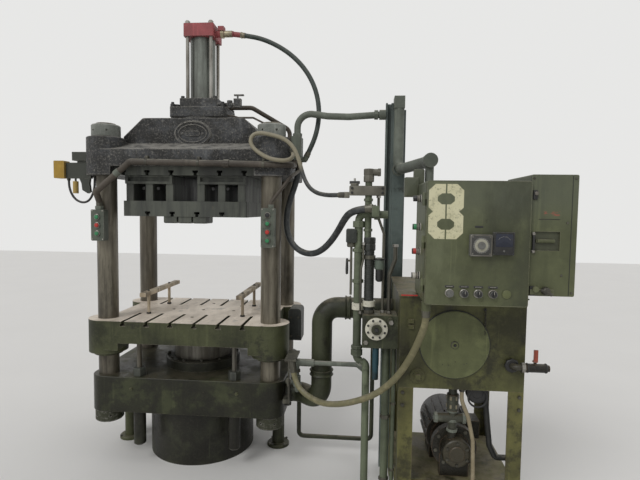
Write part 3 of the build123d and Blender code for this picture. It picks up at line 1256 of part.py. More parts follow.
def make_drain_pipe():
    side = COLUMN_DX + BOLSTER_CORNER + SOLID_TOUCH
    y_block = VALVE_BLOCK_FRONT + VALVE_BLOCK_DEPTH / 2
    z_block = VALVE_BLOCK_Z - VALVE_BLOCK_HEIGHT / 2 - SOLID_TOUCH
    y = DRAIN_LINE_Y
    points = [(side, y, DRAIN_PORT_Z), (DRAIN_LINE_X, y, DRAIN_PORT_Z), (DRAIN_LINE_X, y, DRAIN_LINE_Z),
              (DRAIN_RISE_X, y, DRAIN_LINE_Z), (DRAIN_RISE_X, y, DRAIN_RISE_Z), (DRAIN_RISE_X, y_block, DRAIN_RISE_Z),
              (DRAIN_RISE_X, y_block, z_block)]
    return pipe(points, LINE_OD, LINE_BEND)


# Valve block on the side of the tank, with its round cover and the blue accumulator under it
def make_valve_block():
    z0 = VALVE_BLOCK_Z - VALVE_BLOCK_HEIGHT / 2
    z1 = VALVE_BLOCK_Z + VALVE_BLOCK_HEIGHT / 2
    y0 = VALVE_BLOCK_FRONT
    block = box(VALVE_BLOCK_LEFT, TANK_LEFT - SOLID_TOUCH, y0, y0 + VALVE_BLOCK_DEPTH, z0, z1)
    block = chamfer(block.edges().filter_by(Axis.Y), 5)
    y_disc = y0 - VALVE_DISC_PROUD
    block += bar_y(VALVE_DISC_RADIUS, y_disc, y0 + 1, VALVE_DISC_X, VALVE_DISC_Z)
    block += bar_y(VALVE_HUB_RADIUS, y_disc - VALVE_HUB_PROUD, y_disc + 1, VALVE_DISC_X, VALVE_DISC_Z)
    block += disc(BLUE_RADIUS, z0 - BLUE_LENGTH, z0 + 1, BLUE_X, BLUE_Y)
    block += bar_y(14, y0 - 12, y0 + 1, TANK_LEFT - 45, z1 - 24)
    return block


# Risers with their elbow, manifold, filter and bowl
def make_riser_pipes():
    y = RISER_Y
    z_top = VALVE_BLOCK_Z + VALVE_BLOCK_HEIGHT / 2 + SOLID_TOUCH
    z_block = VALVE_BLOCK_Z - VALVE_BLOCK_HEIGHT / 2 - SOLID_TOUCH
    first = pipe([(ELBOW_END_X, y, ELBOW_Z), (RISER_X, y, ELBOW_Z), (RISER_X, y, RISER_FOOT_Z),
                  (RISER_FOOT_X, y, RISER_FOOT_Z), (RISER_FOOT_X, y, 0)], ELBOW_OD, RISER_BEND)
    z_union = ELBOW_Z - 2 * UNION_HEIGHT
    first += disc(RISER_OD / 2, RISER_FOOT_Z + UNION_HEIGHT, z_union, RISER_X, y)
    for z in (RISER_FOOT_Z + RISER_BEND, z_union):
        first += disc(UNION_RADIUS, z, z + UNION_HEIGHT, RISER_X, y)
    first += bar_x(UNION_RADIUS - 4, UPPER_PIPE_X + UNION_RADIUS, UPPER_PIPE_X + 2 * UNION_RADIUS, y, ELBOW_Z)
    first += bar_y(LINE_OD / 2 + 6, y, y + LINE_BOSS, RISER_FOOT_X, LINE_Z)
    return Compound([first + make_screw_riser(y, z_top) + make_filter(y) + make_hose_fittings(y)]
                    + [disc(od / 2, 0, z_block, x, y) for x, od in SMALL_RISERS])


def make_screw_riser(y, z_low):
    riser = disc(SCREW_RISER_OD / 2, z_low, SCREW_RISER_TOP, SCREW_RISER_X, y)
    riser += disc(UNION_RADIUS, SCREW_RISER_TOP - 2 * UNION_HEIGHT, SCREW_RISER_TOP, SCREW_RISER_X, y)
    riser += disc(UPPER_PIPE_OD / 2, SCREW_RISER_TOP - 1, UPPER_PIPE_TOP, UPPER_PIPE_X, y)
    riser += disc(UNION_RADIUS - 4, UPPER_PIPE_TOP - 2 * UNION_HEIGHT, UPPER_PIPE_TOP, UPPER_PIPE_X, y)
    riser += bar_x(UPPER_PIPE_OD / 2, UPPER_PIPE_X, UPPER_PIPE_X + 2 * UNION_RADIUS, y,
                   UPPER_PIPE_TOP - UPPER_PIPE_OD / 2)
    left, right, low, high = MANIFOLD
    riser += box(left, right, y - MANIFOLD_HALF_DEPTH, y + MANIFOLD_HALF_DEPTH, low, high)
    riser += disc(MANIFOLD_HALF_DEPTH - 6, high - 1, high + HANDLE_WIDTH, left + MANIFOLD_HALF_DEPTH, y)
    riser += box(left, left + 2 * MANIFOLD_HALF_DEPTH, y - HANDLE_WIDTH / 2, y + HANDLE_WIDTH / 2,
                 high + HANDLE_WIDTH - 2, high + 2 * HANDLE_WIDTH)
    low, mid, high = BOWL_Z
    riser += disc(BOWL_RADIUS, mid, high, BOWL_X, y)
    riser += disc(BOWL_FOOT_RADIUS, low, mid + 1, BOWL_X, y)
    riser += bar_x(THIN_OD / 2, SCREW_RISER_X, BOWL_X, y, (mid + high) / 2)
    return riser


def make_filter(y):
    left, right, low, high = FILTER
    middle = (left + right) / 2
    body = box(left, right, y - FILTER_HALF_DEPTH, y + FILTER_HALF_DEPTH, low + FILTER_FOOT, high)
    body += disc(FILTER_FOOT, low, low + FILTER_FOOT + 1, middle, y)
    body += disc(THIN_OD / 2, low - FILTER_DROP, low + 1, middle, y)
    body += box(left, left + HANDLE_WIDTH, y - HANDLE_WIDTH / 2, y + HANDLE_WIDTH / 2,
                low - HANDLE_BOTTOM_DROP, low - HANDLE_TOP_DROP)
    body += bar_x(THIN_OD / 2 - 1, left + HANDLE_WIDTH / 2, middle, y, low - HANDLE_TOP_DROP - HANDLE_WIDTH)
    body += bar_x(RISER_OD / 2 - 8, right - 1, RISER_X, y, (low + high) / 2)
    return body


def make_hose_fittings(y):
    x, y_hose, z = LOOP_HOSE[-1]
    radius = LOOP_HOSE_OD / 2 - 3
    fittings = plug(LOOP_HOSE[-2], LOOP_HOSE[-1], radius, 2 * radius)
    fittings += box(x + radius / 2, x + 2 * radius, y_hose - radius, y, ELBOW_Z - 12, z + radius - 4)
    x, y_hose, z = VALVE_HOSE[-1]
    radius = VALVE_HOSE_OD / 2 + 4
    fittings += plug(VALVE_HOSE[-2], VALVE_HOSE[-1], radius, 2 * radius)
    fittings += box(x + radius, MANIFOLD[0] + 1, y - radius, y + radius, z - radius, z + radius)
    return fittings


# Valve and arm on the right side of the bottom casting, where the cabinet hose ends
def make_side_valve():
    side = COLUMN_DX + BOLSTER_CORNER + SOLID_TOUCH
    x = SIDE_ARM_X
    x_hose, y_hose, z_hose = CABINET_HOSE[-1]
    front = SIDE_ARM_FRONT
    z_foot = SIDE_ARM_FOOT_Z
    z_top = z_hose + SIDE_ARM_RISE
    arm = box(side, x + SIDE_ARM, front, -COLUMN_DY + SIDE_ARM_FOOT, z_foot, z_foot + SIDE_ARM_FOOT)
    arm += box(x, x + SIDE_ARM, front, SIDE_ARM_REAR, z_foot, z_top)
    arm += box(x, x_hose + SIDE_GLAND_RADIUS, y_hose - SIDE_GLAND_RADIUS, SIDE_ARM_REAR, z_top - SIDE_ARM, z_top)
    arm += plug(CABINET_HOSE[-2], CABINET_HOSE[-1], SIDE_GLAND_RADIUS, SIDE_ARM_RISE - 2)
    arm += bar_y(SIDE_COCK_RADIUS, front - SIDE_COCK_RADIUS, front + 1, x + SIDE_ARM / 2, SIDE_COCK_Z)
    half = SIDE_COCK_HEIGHT / 2
    arm += box(x, x + SIDE_ARM, front - 2 * SIDE_COCK_RADIUS, front - SIDE_COCK_RADIUS + 1,
               SIDE_COCK_Z - half, SIDE_COCK_Z + half)
    return arm


# Yellow switch box with its bracket, hook and brass valve on the left end of the head
def make_switch_box():
    x_head = -COLUMN_DX - HEAD_CORNER - SOLID_TOUCH
    y = SWITCH_Y
    left, right, low, high = SWITCH_BOX
    case = box(left, right, y - SWITCH_BOX_DEPTH / 2, y + SWITCH_BOX_DEPTH / 2, low, high)
    case = fillet(case.edges().filter_by(Axis.Y), 6)
    half = SWITCH_PLATE / 2
    case += box(right - 1, x_head, y - half, y + half, low, high - 12)
    slab_left, slab_low, slab_high = SWITCH_SLAB
    case += box(slab_left, x_head, y - SWITCH_SLAB_DEPTH / 2, y + SWITCH_SLAB_DEPTH / 2, slab_low, slab_high)
    case += box(slab_left + 30, x_head, y - half, y + half, high - 14, slab_low + 1)
    hook = make_face(Polyline(*SWITCH_HOOK, close=True))
    case += extrude(Plane.XZ.offset(-y - SWITCH_HOOK_DEPTH / 2) * hook, SWITCH_HOOK_DEPTH)
    case += disc(BRASS_DIAMETER / 2, BRASS_BOTTOM, BRASS_TOP, BRASS_X, y)
    case += disc(7, BRASS_TOP - 1, low + 1, BRASS_X, y)
    return case


# Junction box on the right end of the head
def make_head_junction():
    x_head = COLUMN_DX + HEAD_CORNER + SOLID_TOUCH
    case = box(x_head, JUNCTION_RIGHT, JUNCTION_FRONT, JUNCTION_REAR, JUNCTION_BOTTOM, JUNCTION_TOP)
    case = fillet(case.edges().filter_by(Axis.Z), 8)
    head_end = HEAD_HOSE[-1]
    radius = HEAD_HOSE_OD / 2 + 2
    case += plug(HEAD_HOSE[-2], head_end, radius + 1, JUNCTION_FERRULE)
    case += bar_x(radius - 4, JUNCTION_RIGHT - 1, head_end[0], head_end[1] - 3, head_end[2] - JUNCTION_FERRULE + 2)
    brass = VALVE_HOSE[0]
    radius = VALVE_HOSE_OD / 2 + 1
    case += plug(VALVE_HOSE[1], brass, radius, JUNCTION_FERRULE)
    case += bar_y(radius - 2, brass[1], JUNCTION_FRONT + 1, brass[0] - 4, brass[2] + radius)
    return case


# Conduits fixed to the head: front, right, rear and the thin line on top
def make_head_conduits():
    left_top = STATION_CENTRE_Z + LEFT_STATION_HEIGHT / 2 + SOLID_TOUCH
    right_top = STATION_CENTRE_Z + RIGHT_STATION_HEIGHT / 2 + SOLID_TOUCH
    y_station = -COLUMN_DY - COLUMN_DIAMETER / 2 - STATION_DEPTH / 2
    y_front = -COLUMN_DY - HEAD_CORNER - 25
    below = JUNCTION_BOTTOM - SOLID_TOUCH
    front = pipe([(-COLUMN_DX, y_station, left_top), (-COLUMN_DX, y_station, 1878), (-COLUMN_DX + 6, y_front, 1945),
                  (-345, y_front, 2150), (690, y_front, 2134), (748, -440, 2138), (748, -304, 2142),
                  (748, -304, below)], FRONT_CONDUIT_OD, FRONT_CONDUIT_BEND)
    right = pipe([(612, y_station, right_top), (612, y_station, 1888), (742, -430, 2056), (775, -262, 2112),
                  (775, -262, below)], RIGHT_CONDUIT_OD, RIGHT_CONDUIT_BEND)
    block_side = TOP_BLOCK_WIDTH / 2 + SOLID_TOUCH
    end_top = HEAD_SHOULDER - HEAD_END_DROP + SOLID_TOUCH
    rear = pipe([(block_side, 0, 2606), (380, 0, 2606), (650, 130, 2460), (650, 130, end_top)], REAR_PIPE_OD,
                REAR_PIPE_BEND)
    thin = pipe([(TOP_FLANGE_LENGTH / 2 + SOLID_TOUCH, -90, 2530), (250, -90, 2530), (310, -140, 2506), (434, -200, 2494),
                 (545, -190, 2440), (655, -150, 2400), (655, -150, end_top)], THIN_OD, 18)
    return Compound([front, right, rear, thin])


# Bent pipe across to the standpipe
def make_cross_pipe():
    x_end = CHANNEL_LEFT - SOLID_TOUCH
    points = [(CROSS_X, CROSS_Y, JUNCTION_TOP + SOLID_TOUCH), (CROSS_X, CROSS_Y, 2522), (975, CROSS_Y, 2493),
              (1120, CROSS_Y, 2488), (x_end - 50, CROSS_Y + 10, 2503), (x_end, CROSS_Y + 10, 2503)]
    cross = pipe(points, CROSS_OD, CROSS_BEND)
    cross += bar_x(UNION_RADIUS, x_end - 44, x_end, CROSS_Y + 10, 2503)
    return cross


SUB_PARTS = {
    "bottom_bolster": make_bottom_bolster,
    "main_cylinder": make_main_cylinder,
    "cylinder_gland": make_cylinder_gland,
    "main_ram": make_main_ram,
    "press_feet": make_press_feet,
    "columns": make_columns,
    "column_nuts": make_column_nuts,
    "moving_table": make_moving_table,
    "guide_bushings": make_guide_bushings,
    "ejector_bar_left": lambda: make_ejector_bar(-1),
    "ejector_bar_right": lambda: make_ejector_bar(1),
    "table_guard": make_table_guard,
    "pullback_rods": make_pullback_rods,
    "rod_cylinders": make_rod_cylinders,
    "rod_glands": make_rod_glands,
    "head_casting": make_head_casting,
    "upper_bolster": make_upper_bolster,
    "spacer_rails": make_spacer_rails,
    "spacer_bars": make_spacer_bars,
    "die_plate": make_die_plate,
    "die_clamps": make_die_clamps,
    "top_cylinder_flange": make_top_flange,
    "top_cylinder_tube": make_top_tube,
    "top_cylinder_cap": make_top_cap,
    "top_tie_rods": make_top_tie_rods,
    "control_station_left": lambda: make_station(-1, LEFT_STATION_HEIGHT),
    "control_station_right": lambda: make_station(1, RIGHT_STATION_HEIGHT),
    "station_buttons": make_station_buttons,
    "tank_body": make_tank_body,
    "tank_top": make_tank_top,
    "tank_floor": make_tank_floor,
    "tank_cover": make_tank_cover,
    "stand_frame": make_stand_frame,
    "pump": make_pump,
    "motor": make_motor,
    "control_cabinet": make_control_cabinet,
    "cabinet_door": make_cabinet_door,
    "side_cabinet": make_side_cabinet,
    "door_devices": make_door_devices,
    "cabinet_buttons": make_cabinet_buttons,
    "drain_valve": make_drain_valve,
    "drain_lever": make_drain_lever,
    "standpipe": make_standpipe,
    "return_pipe": make_return_pipe,
    "main_pipe": make_main_pipe,
    "pressure_pipe": make_pressure_pipe,
    "drain_pipe": make_drain_pipe,
    "valve_block": make_valve_block,
    "riser_pipes": make_riser_pipes,
    "side_valve": make_side_valve,
    "switch_box": make_switch_box,
    "head_junction": make_head_junction,
    "head_conduits": make_head_conduits,
    "cross_pipe": make_cross_pipe,
    "head_hose": lambda: hose(HEAD_HOSE, HEAD_HOSE_OD, "head hose"),
    "loop_hose": lambda: hose(LOOP_HOSE, LOOP_HOSE_OD, "loop hose"),
    "valve_hose": lambda: hose(VALVE_HOSE, VALVE_HOSE_OD, "valve hose"),
    "cabinet_hose": lambda: hose(CABINET_HOSE, CABINET_HOSE_OD, "cabinet hose"),
    "switch_cable": lambda: hose(SWITCH_CABLE, SWITCH_CABLE_OD, "switch cable"),
}

os.makedirs("parts", exist_ok=True)
for name, maker in SUB_PARTS.items():
    export_step(maker(), "parts/" + name + ".step")
    print("built", name)
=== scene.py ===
import bmesh
import bpy
import numpy as np
from math import pi, radians
from mathutils import Matrix
from types import SimpleNamespace


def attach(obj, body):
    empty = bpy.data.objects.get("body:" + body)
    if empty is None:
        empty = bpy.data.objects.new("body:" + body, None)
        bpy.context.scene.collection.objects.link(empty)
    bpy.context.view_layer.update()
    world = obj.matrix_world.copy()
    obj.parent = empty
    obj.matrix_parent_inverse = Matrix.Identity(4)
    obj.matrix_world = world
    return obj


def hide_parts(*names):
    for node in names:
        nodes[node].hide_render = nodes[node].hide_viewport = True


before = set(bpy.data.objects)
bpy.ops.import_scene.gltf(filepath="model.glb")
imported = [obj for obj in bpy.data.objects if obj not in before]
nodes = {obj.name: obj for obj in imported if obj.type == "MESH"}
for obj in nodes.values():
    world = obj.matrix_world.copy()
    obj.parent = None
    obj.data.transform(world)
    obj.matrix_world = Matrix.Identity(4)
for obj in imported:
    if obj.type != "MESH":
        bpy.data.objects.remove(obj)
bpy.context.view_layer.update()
print("frame loaded:", len(nodes), "nodes")


# camera, floor and lights

camera = {"place": (1.221, -3.633, 1.84), "yaw": 4.91, "pitch": 3.57, "roll": 0.75, "lens": 27.0,
          "sensor": 36.0}
studio = {"worldStrength": 0.62, "skyColour": (0.80, 0.80, 0.79, 1), "floorSize": 30.0,
          "floorColour": (0.74, 0.73, 0.71), "floorClouds": (.70, .69, .67)}
suns = {"windowLight": {"energy": 1.15, "angle": 25.0, "tilt": 48, "turn": -32},
        "roofLight": {"energy": 0.35, "angle": 60, "tilt": 25, "turn": 120}}


def addCamera(values):
    # place, then turn left by yaw, tip down by pitch and lean by roll
    data = bpy.data.cameras.new("photoCamera")
    data.lens = values["lens"]
    data.sensor_width = values["sensor"]
    eye = bpy.data.objects.new("photoCamera", data)
    turn = Matrix.Rotation(radians(values["yaw"]), 4, "Z")
    tip = Matrix.Rotation(radians(90 - values["pitch"]), 4, "X")
    lean = Matrix.Rotation(radians(values["roll"]), 4, "Z")
    eye.matrix_world = Matrix.Translation(values["place"]) @ turn @ tip @ lean
    bpy.context.scene.collection.objects.link(eye)
    bpy.context.scene.camera = eye


def addSun(name, values):
    data = bpy.data.lights.new(name, "SUN")
    data.energy = values["energy"]
    data.angle = radians(values["angle"])
    sun = bpy.data.objects.new(name, data)
    sun.rotation_euler = (radians(values["tilt"]), 0, radians(values["turn"]))
    bpy.context.scene.collection.objects.link(sun)


def addWorld(values):
    # soft grey light on the object, the plain sky colour for the eye and in reflections
    world = bpy.data.worlds.new("studioSky")
    bpy.context.scene.world = world
    world.use_nodes = True
    tree = world.node_tree
    tree.nodes.clear()
    light = tree.nodes.new("ShaderNodeBackground")
    light.inputs["Strength"].default_value = values["worldStrength"]
    seen = tree.nodes.new("ShaderNodeBackground")
    seen.inputs["Color"].default_value = values["skyColour"]
    rays = tree.nodes.new("ShaderNodeLightPath")
    blend = tree.nodes.new("ShaderNodeMixShader")
    output = tree.nodes.new("ShaderNodeOutputWorld")
    looks = rays.outputs["Is Camera Ray"]
    for kind in ("Is Glossy Ray", "Is Transmission Ray"):
        either = tree.nodes.new("ShaderNodeMath")
        either.operation = "MAXIMUM"
        tree.links.new(looks, either.inputs[0])
        tree.links.new(rays.outputs[kind], either.inputs[1])
        looks = either.outputs[0]
    tree.links.new(looks, blend.inputs[0])
    tree.links.new(light.outputs[0], blend.inputs[1])
    tree.links.new(seen.outputs[0], blend.inputs[2])
    tree.links.new(blend.outputs[0], output.inputs[0])


addCamera(camera)
for name, values in suns.items():
    addSun(name, values)
addWorld(studio)
bpy.context.scene.view_settings.view_transform = "Standard"


# shader maths: each operator on a Field adds one Math node

class Field:
    def __init__(self, paint, socket):
        self.paint = paint
        self.socket = socket

    def calc(self, operation, first, second=0.0, clamp=False):
        inputs = {0: first, 1: second}
        return self.paint.add("ShaderNodeMath", {"operation": operation, "use_clamp": clamp}, inputs)

    def __add__(self, other):
        return self.calc("ADD", self, other)

    def __radd__(self, other):
        return self.calc("ADD", other, self)

    def __sub__(self, other):
        return self.calc("SUBTRACT", self, other)

    def __rsub__(self, other):
        return self.calc("SUBTRACT", other, self)

    def __mul__(self, other):
        return self.calc("MULTIPLY", self, other)

    def __rmul__(self, other):
        return self.calc("MULTIPLY", other, self)

    def size(self):
        return self.calc("ABSOLUTE", self)

    def most(self, other):
        return self.calc("MAXIMUM", self, other)

    def limited(self):
        return self.calc("ADD", self, 0.0, clamp=True)


class Paint:
    # one material, built on Object coordinates in metres
    def __init__(self, name):
        self.material = bpy.data.materials.new(name)
        self.material.use_nodes = True
        self.tree = self.material.node_tree
        self.shader = self.tree.nodes["Principled BSDF"]
        self.place = self.add("ShaderNodeTexCoord", out="Object")
        parts = self.add("ShaderNodeSeparateXYZ", inputs={0: self.place}, out=None)
        self.x, self.y, self.z = (Field(self, parts.outputs[i]) for i in range(3))
        self.normal = self.add("ShaderNodeNewGeometry", out="Normal")
        self.up = self.add("ShaderNodeSeparateXYZ", inputs={0: self.normal}, out=2)

    def add(self, kind, settings=None, inputs=None, out=0):
        # any node: its settings first, then the values or links of its sockets
        node = self.tree.nodes.new(kind)
        for key, value in (settings or {}).items():
            setattr(node, key, value)
        for key, value in (inputs or {}).items():
            if isinstance(value, Field):
                self.tree.links.new(value.socket, node.inputs[key])
            else:
                node.inputs[key].default_value = value
        return node if out is None else Field(self, node.outputs[out])

    def noise(self, scale, detail=4.0, rough=0.55, stretch=(1, 1, 1), shift=0.0):
        # cloudy value round 0.5; stretch below 1 draws it out along that axis
        moved = self.add("ShaderNodeMapping", inputs={
            "Vector": self.place, "Scale": stretch, "Location": (shift,) * 3})
        return self.add("ShaderNodeTexNoise", inputs={
            "Vector": moved, "Scale": scale, "Detail": detail, "Roughness": rough})

    def step(self, value, low, high):
        # 0 below low, 1 above high, smooth between
        return self.add("ShaderNodeMapRange", {"interpolation_type": "SMOOTHSTEP"},
                        {0: value, 1: low, 2: high, 3: 0.0, 4: 1.0})

    def patch(self, low, high, scale, detail=4.0, rough=0.55, stretch=(1, 1, 1), shift=0.0):
        # blotches: 0 where the noise is below low, 1 where it is above high
        return self.step(self.noise(scale, detail, rough, stretch, shift), low, high)

    def mix(self, mask, under, over):
        # colour over where the mask is 1, colour under where it is 0; a plain colour is red, green, blue
        under, over = (part if isinstance(part, Field) else (*part, 1) for part in (under, over))
        return self.add("ShaderNodeMix", {"data_type": "RGBA"}, {0: mask, 6: under, 7: over}, out=2)

    def edges(self, radius):
        # 1 along sharp edges: where the rounded normal leaves the flat one
        soft = self.add("ShaderNodeBevel", {"samples": 4}, {"Radius": radius})
        turn = self.add("ShaderNodeVectorMath", {"operation": "DOT_PRODUCT"}, {0: soft, 1: self.normal},
                        out="Value")
        return self.step(1 - turn, 0.01, 0.12)

    def finish(self, colour, rough, metal=0.0, relief=None, depth=0.002):
        for name, value in (("Base Color", colour), ("Roughness", rough), ("Metallic", metal)):
            if isinstance(value, Field):
                self.tree.links.new(value.socket, self.shader.inputs[name])
            else:
                self.shader.inputs[name].default_value = value
        if relief is not None:
            bump = self.add("ShaderNodeBump", inputs={"Height": relief, "Distance": depth, "Strength": 0.7})
            self.tree.links.new(bump.socket, self.shader.inputs["Normal"])
        return self.material


# materials

# every painted part: its paint, darker patches, dust and the metal or rust under it, as red, green and blue;
# then how rough, greasy, dusty, worn, rimmed with dust and painted highlight, coarsely cast and caked it is
paintTerms = ("paint", "shade", "dust", "wear", "rough", "grease", "dusty", "worn", "rims", "cast", "caked")
paints = {
    "head": ((.112, .116, .12), (.034, .035, .037), (.36, .345, .31), (.15, .14, .12),
        .55, .58, .8, .25, 1, 2.4, .62),
    "casting": ((.062, .068, .03), (.02, .022, .01), (.17, .155, .11), (.17, .15, .1),
        .42, .46, .55, .34, .3, .9, .1),
    "bolster": ((.046, .052, .024), (.012, .013, .007), (.1, .088, .06), (.13, .115, .08),
        .38, .58, .55, .34, .3, .9, .1),
    "pot": ((.034, .036, .021), (.009, .009, .006), (.1, .09, .07), (.16, .15, .12),
        .42, .56, .5, .95, .2, .8, .12),
    "nut": ((.29, .3, .275), (.125, .135, .118), (.48, .465, .42), (.26, .25, .2),
        .5, .35, .8, .35, .5, .6, .25),
    "pipe": ((.048, .054, .028), (.018, .02, .011), (.2, .18, .13), (.13, .11, .08),
        .46, .5, .7, .25, .1, .6, .08),
    "tank": ((.098, .1, .036), (.034, .034, .014), (.22, .19, .13), (.2, .17, .12),
        .46, .5, .8, .28, .2, .35, .06),
    "cover": ((.12, .132, .058), (.07, .078, .034), (.22, .2, .15), (.24, .22, .16),
        .43, .32, .4, .2, 0, .25, .04),
    "leg": ((.125, .12, .04), (.05, .048, .018), (.22, .19, .13), (.15, .11, .065),
        .48, .5, .6, .42, .25, .35, .06),
    "cabinet": ((.104, .114, .056), (.06, .066, .034), (.26, .24, .18), (.25, .22, .16),
        .42, .34, .6, .22, .35, .25, .03),
    "station": ((.112, .126, .1), (.05, .058, .046), (.24, .23, .2), (.25, .24, .21),
        .45, .42, .6, .35, .4, .3, .08),
    "post": ((.115, .145, .135), (.052, .066, .06), (.28, .28, .25), (.18, .17, .14),
        .46, .42, .5, .28, .3, .4, .08),
    "duct": ((.165, .182, .15), (.08, .09, .072), (.32, .31, .26), (.24, .22, .18),
        .48, .35, .7, .25, .2, .35, .1),
    "pump": ((.036, .033, .021), (.012, .011, .007), (.13, .11, .075), (.17, .1, .055),
        .36, .66, .5, .55, .2, 1, .12),
}
coarse = {"head": {"depth": .006, "rim": .011}}  # deeper relief and wider edges, on the sand-cast head


def lighter(colour, factor):
    return tuple(part * factor for part in colour)


def oldPaint(name, values, extra=None):
    # paint with patches, bleached areas, run-down streaks, greasy spots, worn edges and settled dust; the pale
    # rims along edges are partly dust and partly painted highlight
    paint = Paint(name)
    patches = paint.patch(.36, .66, 2.6, 6, .62)
    colour = paint.mix(patches, values["paint"], values["shade"])
    bleached = paint.patch(.50, .74, 4.6, 9, .72, shift=12.3)
    colour = paint.mix(bleached * .55, colour, lighter(values["paint"], 1.6))
    streaks = paint.patch(.50, .70, 10, 6, .62, (1, 1, .10), 3.1)
    colour = paint.mix(streaks * .62, colour, values["shade"])
    runs = paint.patch(.58, .70, 24, 5, .62, (1, 1, .05), 8.8)
    colour = paint.mix(runs * .32, colour, lighter(values["paint"], 1.9))
    if extra:
        colour = extra(paint, colour)
    grease = paint.patch(1 - values["grease"], 1.11 - values["grease"], 5.5, 8, .70, shift=7.7)
    colour = paint.mix(grease * .66, colour, (.012, .011, .008))
    grain = paint.noise(130, 5, .68)
    caked = paint.patch(.50, .64, 75, 9, .78, shift=9.1)
    colour = paint.mix(caked * values["caked"], colour, values["dust"])
    nicks = paint.noise(46, 7, .72, shift=1.3)
    rims = paint.edges(values.get("rim", .006))
    chips = paint.step(nicks + rims * values["worn"] * .55, .70, .76)
    colour = paint.mix(chips * .8, colour, values["wear"])
    lying = paint.step(paint.up, .55, .95) * paint.patch(.32, .60, 16, 7, .70, shift=4.2)
    # pale rims along edges: partly dust, partly a painted highlight
    along = rims * values["rims"] * paint.patch(.36, .56, 38, 6, .75, shift=2.6)
    dustAndEdgeSheen = (lying * values["dusty"]).most(along)
    colour = paint.mix(dustAndEdgeSheen, colour, values["dust"])
    rough = (values["rough"] + dustAndEdgeSheen * .3 + caked * values["caked"] * .3 + grain * .14 - grease * .15).limited()
    lumps = paint.noise(30, 7, .75, shift=6.4) * values["cast"]
    relief = grain * .35 + nicks * .5 + lumps * 1.4 - chips * .4 + caked * values["caked"]
    paint.shader.inputs["Specular IOR Level"].default_value = .32
    return paint.finish(colour, rough, relief=relief, depth=values.get("depth", .0022))


def smearedSteel(name, values):
    # ground bar: fine rings and long run-down stains, oil making it darker in patches
    paint = Paint(name)
    stains = paint.patch(.40, .66, 10, 6, .65, (1, 1, .10))
    colour = paint.mix(stains, values["bright"], values["stain"])
    scuffs = paint.patch(.50, .62, 15, 7, .72, (1, 1, .06), 6.1)
    colour = paint.mix(scuffs * .60, colour, values["oil"])
    splashes = paint.patch(.56, .68, 26, 8, .74, (1, 1, .6), 4.4)
    colour = paint.mix(splashes * .5, colour, values["stain"])
    film = paint.patch(.42, .66, 3.2, 6, .65, (1, 1, .4), 2.2)
    colour = paint.mix(film * .75, colour, values["oil"])
    rust = paint.patch(.63, .74, 38, 7, .7, (1, 1, .5), 5.5)
    colour = paint.mix(rust * values["rusty"], colour, values["rust"])
    rings = paint.noise(160, 2, .5, (.15, .15, 1))
    rough = (values["rough"] + stains * .18 + rings * .10 + rust * .25).limited()
    metal = (values["metal"] - rust * .5 - stains * .25).limited()
    return paint.finish(colour, rough, metal, rings * .25 + rust * .5, .0008)


# extra layers of single parts

def tableLayers(paint, colour):
    # the ground top is pale with dust, worn steel and painted light; brown along its stains, dark in the slots
    top = paint.step(paint.z, 1.040, 1.0465) * paint.step(paint.up, .8, .95)
    stains = paint.patch(.38, .66, 5, 7, .66, (1, .5, 1))
    # painted light: the top face is lighter than its dust and steel alone, for light falling on it
    face = paint.mix(stains, (.82, .73, .62), (.52, .45, .37))
    spots = paint.patch(.58, .68, 24, 8, .72, shift=8)
    face = paint.mix(spots * .6, face, (.16, .135, .10))
    return paint.mix(top, colour, face)


def nutLayers(paint, colour):
    # the nuts under the press are as dark as its casting
    return paint.mix(paint.step(paint.z, 1.0, .9), colour, (.034, .036, .020))


def cabinetLayers(paint, colour):
    # greyer towards the top
    return paint.mix(paint.step(paint.z, 1.72, 1.93) * .5, colour, (.100, .110, .088))


def doorLayers(paint, colour):
    # lighter at the hinge side, painted light falling from the left; sooty round the timer and down from it, then
    # the stencilled figure: two octagons with holes, split by a narrow bar and worn through in places
    colour = cabinetLayers(paint, colour)
    # painted light: the hinge side is lightened, broken up by noise
    pale = paint.step(paint.x, 1.74, 1.60) * paint.patch(.34, .60, 6, 7, .7, (1, 1, .4), 4)
    colour = paint.mix(pale * .6, colour, (.155, .170, .098))
    soot = paint.step(paint.x, 1.76, 1.86) * paint.patch(.34, .60, 4, 6, .66, (1, 1, .5), 6)
    colour = paint.mix(soot * .7, colour, (.042, .046, .028))
    across = (paint.x - 1.6245).size()
    figure = None
    for middle in (1.9015, 1.7795):
        high = (paint.z - middle).size()
        outer = across.most(high * 1.16).most((across + high * 1.05) * .655)
        inner = (across * 1.80).most(high * 2.75).most((across + high * 1.25) * 1.36)
        ring = paint.step(outer, .0835, .0815) * paint.step(inner, .0715, .0740)
        figure = ring if figure is None else figure.most(ring)
    figure = figure * paint.step(across, .0030, .0042) * paint.step(paint.y, -1.2785, -1.2795)
    worn = paint.patch(.36, .46, 95, 8, .74, shift=5)
    worn = worn * (.55 + paint.patch(.34, .46, 26, 7, .7, shift=2) * .45)
    shade = paint.mix(paint.noise(9, 5), (.56, .53, .33), (.70, .67, .47))
    return paint.mix(figure * (.35 + worn * .63), colour, shade)


def sideLayers(paint, colour):
    # a smear of old red paint on the side cabinet, and painted shade darkening its recess
    colour = cabinetLayers(paint, colour)
    near = paint.step((paint.x - 2.122).size(), .042, .030) * paint.step((paint.z - 1.838).size(), .014, .008)
    smear = near * paint.patch(.50, .60, 70, 6, .7, (.35, 1, 1)) * paint.step(paint.y, -1.255, -1.261)
    colour = paint.mix(smear * .8, colour, (.30, .085, .06))
    # painted shade: the faces set back in the recess are darkened
    recessShade = paint.step(paint.y, -1.2595, -1.2585) * paint.step(paint.y, -1.2440, -1.2450)
    return paint.mix(recessShade * .6, colour, (.050, .052, .040))


